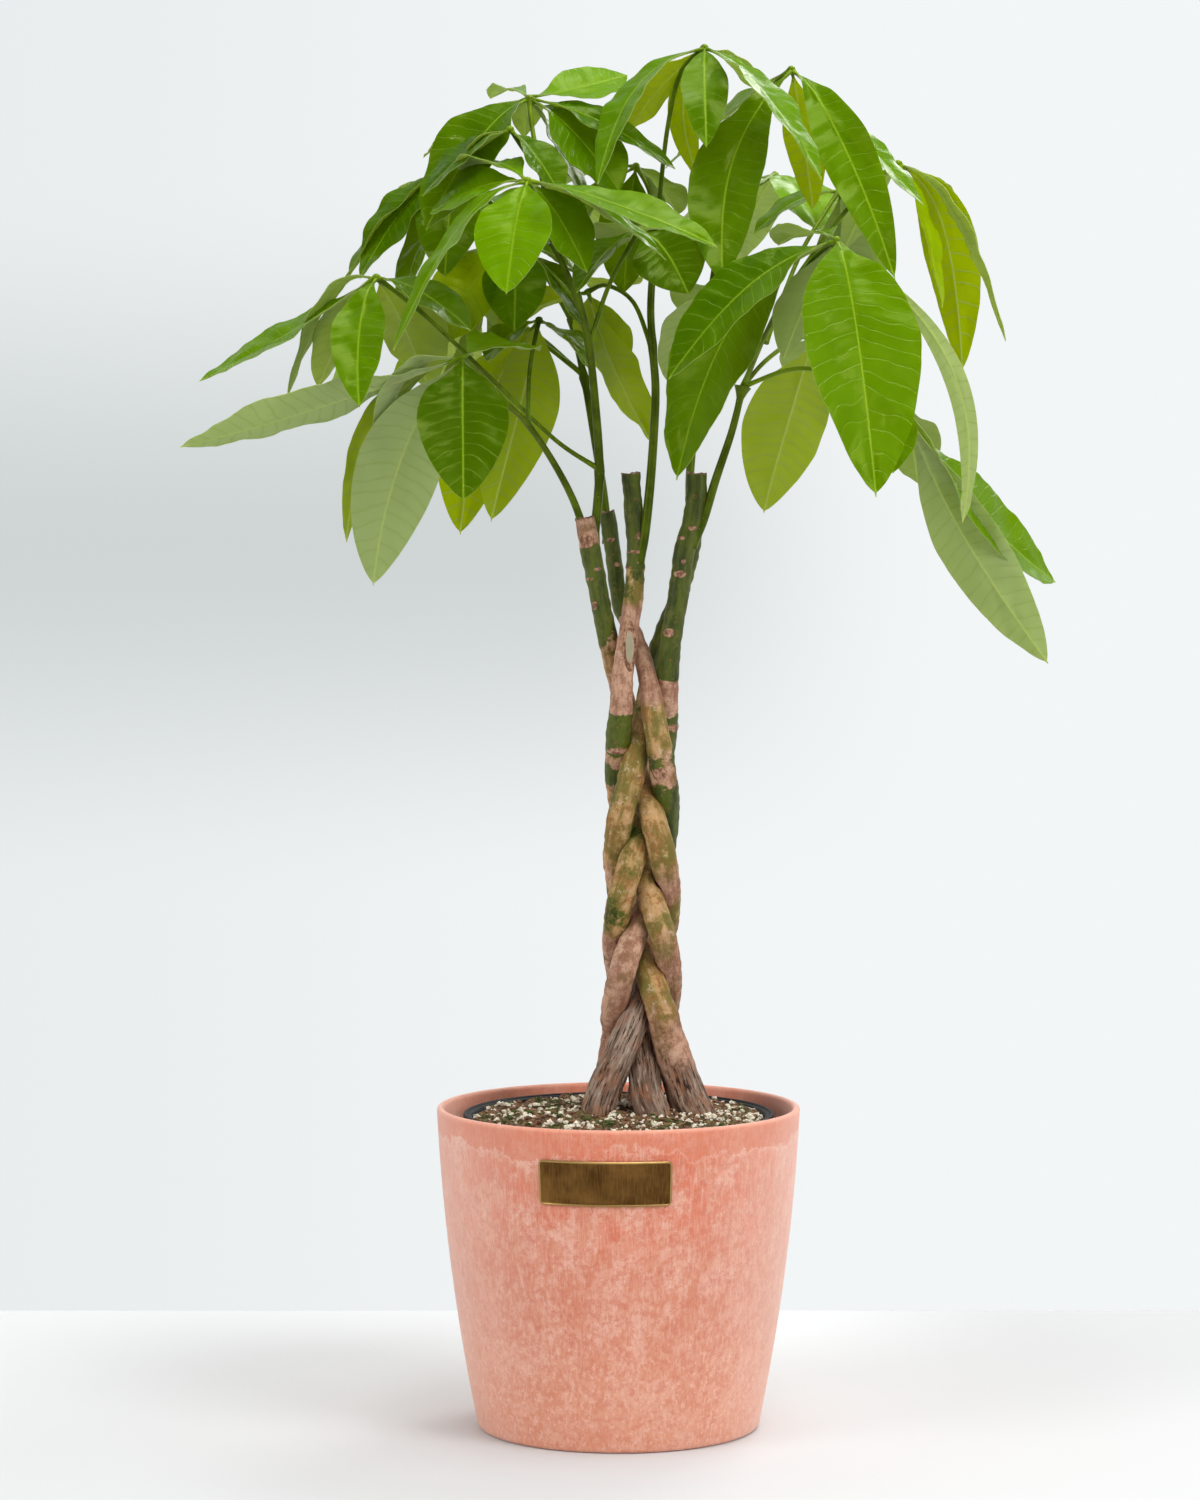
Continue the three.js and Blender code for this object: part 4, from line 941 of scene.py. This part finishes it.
def braid_point(trunk, z):
    """Where a stem of the braid runs at that height."""
    turn = (crossing_number(z) - trunk["first"]) * math.pi / BRAID["stems"]
    share = min(max((z - BRAID["low"]) / (BRAID["high"] - BRAID["low"]), 0), 1)
    half_width, half_depth = (low + (high - low) * share
                              for low, high in (BRAID["half_width"], BRAID["half_depth"]))
    return (BRAID["axis_x"] + trunk["side"] * half_width * math.sin(turn),
            BRAID["axis_y"] - half_depth * math.sin(2 * turn), z)


def trunk_path(trunk, spacing):
    """The stem's centreline, from its foot up."""
    heights = np.arange(trunk["start"], BRAID["low"], -BRAID["step"])
    points = [*trunk["top"], *(braid_point(trunk, z) for z in heights), *trunk["foot"]]
    return curve_through(points[::-1], spacing)


def trunk_radius(trunk, z):
    foot, braid, top = trunk["radii"]
    low = foot + (braid - foot) * smooth(z, *BRAID["foot_taper"])
    return low + (top - low) * smooth(z, *BRAID["top_taper"])


def pressed(centres, spokes, radii, others):
    """How far a stem's skin lies from its centreline where neighbours press on it."""
    depth = np.repeat(radii[:, None], spokes.shape[1], axis=1)
    for _ in range(7):
        skin = centres[:, None] + spokes * depth[..., None]
        for path, radius in others:
            reach = (skin ** 2).sum(-1)[..., None] + (path ** 2).sum(-1) - 2 * skin @ path.T
            nearest = reach.argmin(-1)
            away = np.sqrt(np.maximum(np.take_along_axis(reach, nearest[..., None], -1)[..., 0], 0))
            over = (depth - radii[:, None]) - (away - radius[nearest]) + 0.0002
            depth = np.maximum(depth - 0.5 * np.clip(over, 0, None) * (away < radius[nearest]),
                               0.4 * radii[:, None])
    return depth


def oval(surface, x, height, half_width, half_height):
    """How far each point lies across and up from an oval's middle, where 1 is the oval's edge."""
    return (surface[..., 0] - x) / half_width, (surface[..., 2] - height) / half_height


def scars_on(name, surface, spokes):
    """How much each point belongs to a scar, and how much to the pale oval."""
    scar = np.zeros(surface.shape[:2])
    pale = np.zeros(surface.shape[:2])
    for stem, *place in SCARS:
        if stem == name:
            aside, rise = oval(surface, *place)
            shape = np.hypot(aside, np.where(rise > 0, 2 * rise, rise))
            scar = np.maximum(scar, (1 - smooth(shape, 0.6, 1.4)) * (spokes[..., 1] < 0.2))
    if name == PALE_OVAL["stem"]:
        shape = np.hypot(*oval(surface, *PALE_OVAL["place"]))
        front = spokes[..., 1] < 0
        pale = (1 - smooth(shape, 0.7, 1.0)) * front
        scar = np.maximum(scar, (1 - smooth(np.abs(shape - 1.15), 0.1, 0.4)) * front)
    return scar, pale


def bark_relief(surface, grain, worn, scar, pale):
    """How far the bark rises: lumps, faint rings, grooves where it is worn, and scars."""
    grooves = ripple(grain * (1, 1, 0.11), 0.0032, 21) + 0.7 * ripple(grain * (1, 1, 0.16), 0.0018, 22)
    lumps = 0.00022 * ripple(surface, 0.02, 23) + 0.00012 * ripple(surface, 0.007, 24)
    rings = 0.00010 * ripple(grain * (0.1, 0.1, 1), 0.006, 25)
    return lumps + rings + 0.00032 * np.clip(grooves, -2, 1.2) * worn + 0.0004 * scar - 0.0005 * pale


def make_trunk(name, material):
    """A stem pressed against its neighbours, with its bark, scars and cut end."""
    trunk = TRUNKS[name]
    path = trunk_path(trunk, 0.0018)
    z = path[:, 2]
    radii = trunk_radius(trunk, z)
    spokes, angle = spokes_along(path, 64)
    others = []
    for other, row in TRUNKS.items():
        if other != name:
            line = trunk_path(row, 0.0025)
            others.append((line, trunk_radius(row, line[:, 2])))
    depth = pressed(path, spokes, radii, others)
    run = run_along(path)
    around = [GRAIN_RADIUS * np.broadcast_to(turned(angle), depth.shape) for turned in (np.cos, np.sin)]
    grain = np.stack((*around, np.broadcast_to(run[:, None], depth.shape) + trunk["first"]), axis=-1)
    heights, *shares = zip(*trunk["skin"][::-1])
    bark = np.stack([np.interp(z, heights, share) for share in shares], axis=1)
    bark = np.repeat(bark[:, None], len(angle), axis=1)
    surface = path[:, None] + spokes * depth[..., None]
    scar, pale = scars_on(name, surface, spokes)
    cut = np.broadcast_to(smooth(run[-1] - run, 0.0022, 0.0008)[:, None], depth.shape)
    depth = depth + bark_relief(surface, grain, bark[..., 2], scar, pale)
    torn = 0.0004 * ripple(grain * 3, 0.012, 26)
    surface = path[:, None] + spokes * depth[..., None]
    surface[-1] += UP * (torn[-1] - 0.0004)[:, None]
    marks = dict(bark=(bark, (0, 0, 0)), scar=(np.stack((scar, pale, cut), axis=-1), (0, 0, 1)),
                 grain=(grain, (0, 0, 0)))
    form = Form(*marks)
    form.add(*ring_body(surface, path[0], path[-1] - UP * 0.001), **{
        mark: np.vstack((values.reshape(-1, 3), (0, 0, 0), end)) for mark, (values, end) in marks.items()
    })
    form.build(f"stem_{name}", [material], "bark", f"trunk_{name}", crease=50)


# Leaflets
def blade_width(s):
    """How wide the blade is at each share of its length, with a blunt end and a narrow point beyond it."""
    swell = np.sin(math.pi * np.clip(s / LEAF["blade"], 0, 1) ** 1.25).clip(0)
    return np.where(s < LEAF["widest"] * LEAF["blade"], swell ** 1.15, swell ** 0.7)


def blade_frame(s, bends, side, rolled):
    """The midrib's point, the way across and the way up at each share of the blade's length."""
    start, knee, tip = bends
    t = s[..., None]
    ahead = unit((1 - t) * (knee - start) + t * (tip - knee))
    level = unit(side - ahead * (ahead @ side)[..., None])
    face = np.cross(level, ahead)
    turn = (rolled * smooth(s, 0, 0.4))[..., None]
    across = level * np.cos(turn) + face * np.sin(turn)
    normal = face * np.cos(turn) - level * np.sin(turn)
    return bow(t, *bends), across, normal


def blade_relief(s, u, half, count, middle):
    """How far the blade rises: its fold, edge waves, pillows between the veins and broad swells."""
    edge = np.abs(u)
    fold = LEAF["fold"] * draw.uniform(0.75, 1.1)
    phase = draw.uniform(0, 6.28)
    wave = LEAF["wave"] * half * np.sin(s * draw.uniform(16, 24) + phase + (u > 0) * 1.3) * edge ** 2
    quilt = np.abs(np.sin(math.pi * (count[:, None] + np.where(u < 0, 0.5, 0.0))))
    pillow = LEAF["pillow"] * half * quilt ** 0.8 * smooth(edge, 0.02, 0.22)
    pillow *= 1 - 0.8 * smooth(edge, 0.7, 1)
    swell = 0.0009 * ripple(middle, 0.032, 31) + 0.0003 * ripple(middle, 0.011, 32)
    swell *= smooth(edge, 0.02, 0.3)
    return fold * half * edge ** 1.2 + wave + pillow + swell * smooth(half, 0.002, 0.010)


def add_leaflet(form, hub, row, tone):
    """A thin closed blade with a fold, waves, veins and a midrib. Gives the points that it bends by."""
    reach = np.array(row[:3], float)
    width, arch, roll, sway = (*row[3:], 0)[:4]
    length = np.linalg.norm(reach)
    tone += draw.uniform(-0.1, 0.1)
    start = hub + reach * (LEAF["seat"] / length)
    side = unit(np.array((reach[1], -reach[0], 0.0)))
    rolled = math.radians(roll)
    slant = side * math.cos(rolled) + unit(np.cross(side, reach)) * math.sin(rolled)
    bends = start, start + reach * LEAF["knee"] + UP * arch + slant * sway, hub + reach
    veins = round(8 + length / 0.015)
    count = np.union1d(np.arange(veins * STEPS_PER_VEIN + 1) / STEPS_PER_VEIN, veins - np.arange(1, 8) / 16)
    stations = ((count / veins) ** 1.04)[:, None]
    u = ACROSS[None]
    lean = VEIN_LEAN * width / 2 * blade_width(stations) / length
    s = np.clip(stations + lean * np.abs(u) * (1 + 0.4 * np.abs(u)), 0, 1)
    centre, across, normal = blade_frame(s, bends, side, rolled)
    point = LEAF["point"] * np.clip((1 - s) / 0.05, 0.08, 1)
    half = np.maximum(width / 2 * blade_width(s), np.where(s < 0.5, LEAF["neck"], point))
    bend = draw.uniform(-0.012, 0.012) * length * np.sin(math.pi * s) ** 2
    middle = centre + across * (u * half + bend * (1 - smooth(s, 0.97, 1.0)))[..., None]
    lift = blade_relief(s, u, half, count, middle)
    rib = np.exp(-(u * half / 0.0009) ** 2) * (1 - 0.8 * s) * smooth(s, 0, 0.03)
    top = middle + normal * (lift + LEAF["thickness"] / 2 + LEAF["rib_above"] * rib)[..., None]
    under = middle + normal * (lift - LEAF["thickness"] / 2 - LEAF["rib_below"] * rib)[..., None]
    proud = cad_box[0][1] + 0.0004 - min(top[..., 1].min(), under[..., 1].min())
    back = max(proud, 0) * smooth(s, 0, 0.4)
    top[..., 1] += back
    under[..., 1] += back
    front = sheet_faces(*s.shape)
    rim = rim_faces(*s.shape, flip=True) - 2 * s.size
    mark = np.stack((np.broadcast_to(count[:, None], s.shape), u * half, np.full(s.shape, tone)), axis=-1)
    mark = mark.reshape(-1, 3)
    form.add(top, [front], leaf=mark)
    form.add(under, [front[:, ::-1]], slot=1, leaf=mark)
    form.add(np.zeros((0, 3)), [rim], slot=1, leaf=np.zeros((0, 3)))
    return bends


def make_shoot(name, plan, leaf_materials, stem_materials):
    """One piece for the leaves of a shoot and one for its stem, stalks and hubs."""
    leaves = Form("leaf")
    stems = Form()
    route = curve_through(plan["stem"], STALK_STEP)
    share = np.linspace(0, 1, len(route))
    radii = plan["radius"] * (1 - 0.35 * share)
    for row in plan["leaves"]:
        joint = np.linalg.norm(route - np.array(row["stalk"][0]), axis=1).argmin()
        radii = radii * (1 + 0.22 * np.exp(-((np.arange(len(route)) - joint) / 1.3) ** 2))
    collar = np.exp(-(np.arange(len(route)) / 1.2) ** 2)
    stems.add(*tube(route, radii * (1 + 0.35 * collar), sides=14), slot=0)
    for row in plan["leaves"]:
        hub = np.array(row["hub"], float)
        stalk = curve_through([*row["stalk"], row["hub"]], STALK_STEP)
        along = np.linspace(0, 1, len(stalk))
        swelling = 1 + 0.45 * np.exp(-along / 0.05) + 0.5 * np.exp(-(1 - along) / 0.04)
        stems.add(*tube(stalk, LEAF["stalk"] * swelling * 0.92), slot=1)
        points, faces = BALL
        stems.add(hub + points * LEAF["knob"] * (1, 1, 0.75), [faces], slot=2)
        tones = np.broadcast_to(row["tone"], len(row["leaflets"]))
        for leaflet, tone in zip(row["leaflets"], tones):
            bends = add_leaflet(leaves, hub, leaflet, tone)
            short_stalk = np.vstack((hub, bow(np.linspace(0, 0.11, 8)[:, None], *bends)))
            stems.add(*tube(short_stalk, np.linspace(LEAF["stalk"], 0.0005, len(short_stalk))), slot=2)
    node = f"shoot_{name}"
    leaves.build(f"leaves_{name}", leaf_materials, "leaf", node, crease=55)
    stems.build(f"stalks_{name}", stem_materials, "leaf", node, crease=60)


# Setting
def make_camera():
    camera = place_object("camera", bpy.data.cameras.new("camera"))
    camera.location = CAMERA["place"]
    camera.rotation_euler = (math.radians(CAMERA["pitch"]), 0, 0)
    camera.data.sensor_width = 36
    camera.data.lens = CAMERA["lens"]
    camera.data.clip_start = 0.05
    bpy.context.scene.camera = camera


def add_light(name, place, aim, size, power):
    """A soft oblong light that faces a point."""
    light = bpy.data.lights.new(name, "AREA")
    light.shape, light.size, light.size_y = "RECTANGLE", *size
    light.energy = power
    lamp = place_object(name, light)
    lamp.location = place
    lamp.rotation_euler = (Vector(aim) - Vector(place)).to_track_quat("-Z", "Y").to_euler()


def make_floor():
    """A pale floor with painted light on it, lighter at the back and darker to the right, which far off
    becomes a painted glow in the wall's tone beyond the light of the lamps.
    """
    s = Nodes("studio_floor")
    x, y, _ = s.split(s.place)
    away = s.node("ShaderNodeVectorMath", {0: s.place}, operation="LENGTH")["Value"]
    # Painted light and shade: the floor is painted lighter towards the back and darker to the right
    pale = s.mix(s.ramp(y, -0.25, 0.42), rgb(206, 208, 209), rgb(230, 232, 233))
    material = s.finish(Base_Color=s.mix(s.ramp(x, 0.05, 0.35), pale, rgb(204, 205, 206)), Roughness=0.8)
    # Painted glow: far from the middle the camera sees an emission in the wall's tone instead of the lit
    # floor
    far = s.node("ShaderNodeEmission", {"Color": rgb(241, 244, 245)})[0]
    s.show_both(s.times(s.ramp(away, 0.75, 1.5), s.seen_directly()), s.surface.outputs[0], far)
    mesh = bpy.data.meshes.new("floor")
    reach, back = 4, 0.42
    corners = [(-reach, -reach, 0), (reach, -reach, 0), (reach, back, 0), (-reach, back, 0)]
    mesh.from_pydata(corners, [], [(0, 1, 2, 3)])
    mesh.materials.append(material)
    place_object("floor", mesh)


def make_world():
    """A pale studio wall all round, with painted light that makes it brighter to the right and a painted
    shadow of the foliage on it.

    It shows brighter than it lights the object.
    """
    s = Nodes("studio", world=True)
    x, y, z = s.split(s.place)
    # Painted light: the wall is painted brighter to the right, where more light falls on it
    wall = s.mix(s.ramp(x, -0.16, 0.06), rgb(233, 237, 238), rgb(243, 246, 247))
    # Painted shadow: a grey band is painted where the foliage shades the wall, fading out to the right
    band = s.ramp(s.without_sign(s.plus(z, 0.004)), 0.086, 0.0)
    painted_shade = s.times(band, s.ramp(x, 0.085, -0.02))
    wall = s.coat(wall, rgb(206, 211, 211), painted_shade, 0.95)
    s.put(s.surface.inputs["Color"], wall)
    strength = s.ramp(y, -0.3, 0.7, 0.30, 0.90)
    given = s.node("ShaderNodeBackground", {"Color": (0.99, 0.99, 0.98, 1), "Strength": strength})[0]
    s.show_both(s.seen_directly(), given, s.surface.outputs[0])
    bpy.context.scene.world = s.owner


make_camera()
make_world()
make_floor()
add_light("softbox_right", (1.6, -1.4, 1.4), (0, 0, 0.5), (1.0, 1.2), 26)
add_light("softbox_left", (-1.9, -1.2, 1.1), (0, 0, 0.4), (1.1, 1.1), 19)
add_light("softbox_top", (0.3, -0.3, 2.2), (0, 0, 0.6), (1.2, 0.9), 26)
add_light("softbox_back", (0.8, 1.3, 1.7), (0, 0, 0.7), (0.8, 0.8), 12)
add_light("strip_front", (0.3, -2.1, 1.9), (0, 0, 0.75), (0.9, 0.12), 4)
bpy.context.scene.view_settings.view_transform = "Standard"

make_planter(planter_material())
make_plate(plate_material())
make_pot(pot_material())
make_soil(soil_material())
scatter(plain_grain("perlite", rgb(200, 188, 160), rgb(248, 242, 226), size=0.0015, rough=0.9, depth=0.0003),
        count=900, sizes=(0.0006, 0.0024), lumpy=0.34, flat=0.75, sink=0.5, seed=11,
        favour=lambda spot: (0.25 + 0.75 * (ripple(spot, 0.025, 15) > 0)) * (0.45 + 0.55 * (spot[1] < 0.01)))
scatter(plain_grain("bark_bits", rgb(58, 36, 24), rgb(150, 102, 68), size=0.002, rough=0.9, depth=0.0004),
        count=900, sizes=(0.0009, 0.0026), lumpy=0.18, flat=0.5, sink=0.4, seed=12, favour=lambda spot: 1.0)
scatter(plain_grain("moss", rgb(34, 44, 14), rgb(96, 108, 44), size=0.0012, rough=0.95, depth=0.0006),
        count=620, sizes=(0.0010, 0.0026), lumpy=0.30, flat=0.5, sink=0.3, seed=13,
        favour=lambda spot: 0.15 + 0.85 * (ripple(spot, 0.03, 14) > 0.3))
bark = bark_material()
for trunk_name in TRUNKS:
    make_trunk(trunk_name, bark)
# The third tone of each face is a yellow that is partly a painted glow of light through the leaf
leaf_faces = [
    leaf_material("leaf_top", tones=(rgb(42, 80, 0), rgb(104, 152, 0), rgb(154, 178, 0)),
                  vein=rgb(158, 194, 56), midrib=rgb(158, 190, 44), rough=0.19,
                  through=(rgb(182, 206, 0), rgb(204, 214, 0)), share=0.42,
                  relief=-2.5, painted_shade=0.06, clear=0.22),
    leaf_material("leaf_under", tones=(rgb(152, 170, 98), rgb(192, 206, 148), rgb(156, 178, 0)),
                  vein=rgb(196, 210, 126), midrib=rgb(216, 226, 136), rough=0.46,
                  through=(rgb(204, 216, 120), rgb(214, 222, 0)), share=0.52,
                  relief=2.0, painted_shade=0.12, clear=0.42),
]
stem_finishes = [
    stem_material("shoot_green", rgb(48, 64, 6), rgb(78, 96, 20)),
    stem_material("stalk_green", rgb(62, 82, 4), rgb(96, 122, 16)),
    stem_material("hub_green", rgb(78, 106, 4), rgb(112, 140, 16)),
]
for shoot_name, shoot_plan in SHOOTS.items():
    make_shoot(shoot_name, shoot_plan, leaf_faces, stem_finishes)
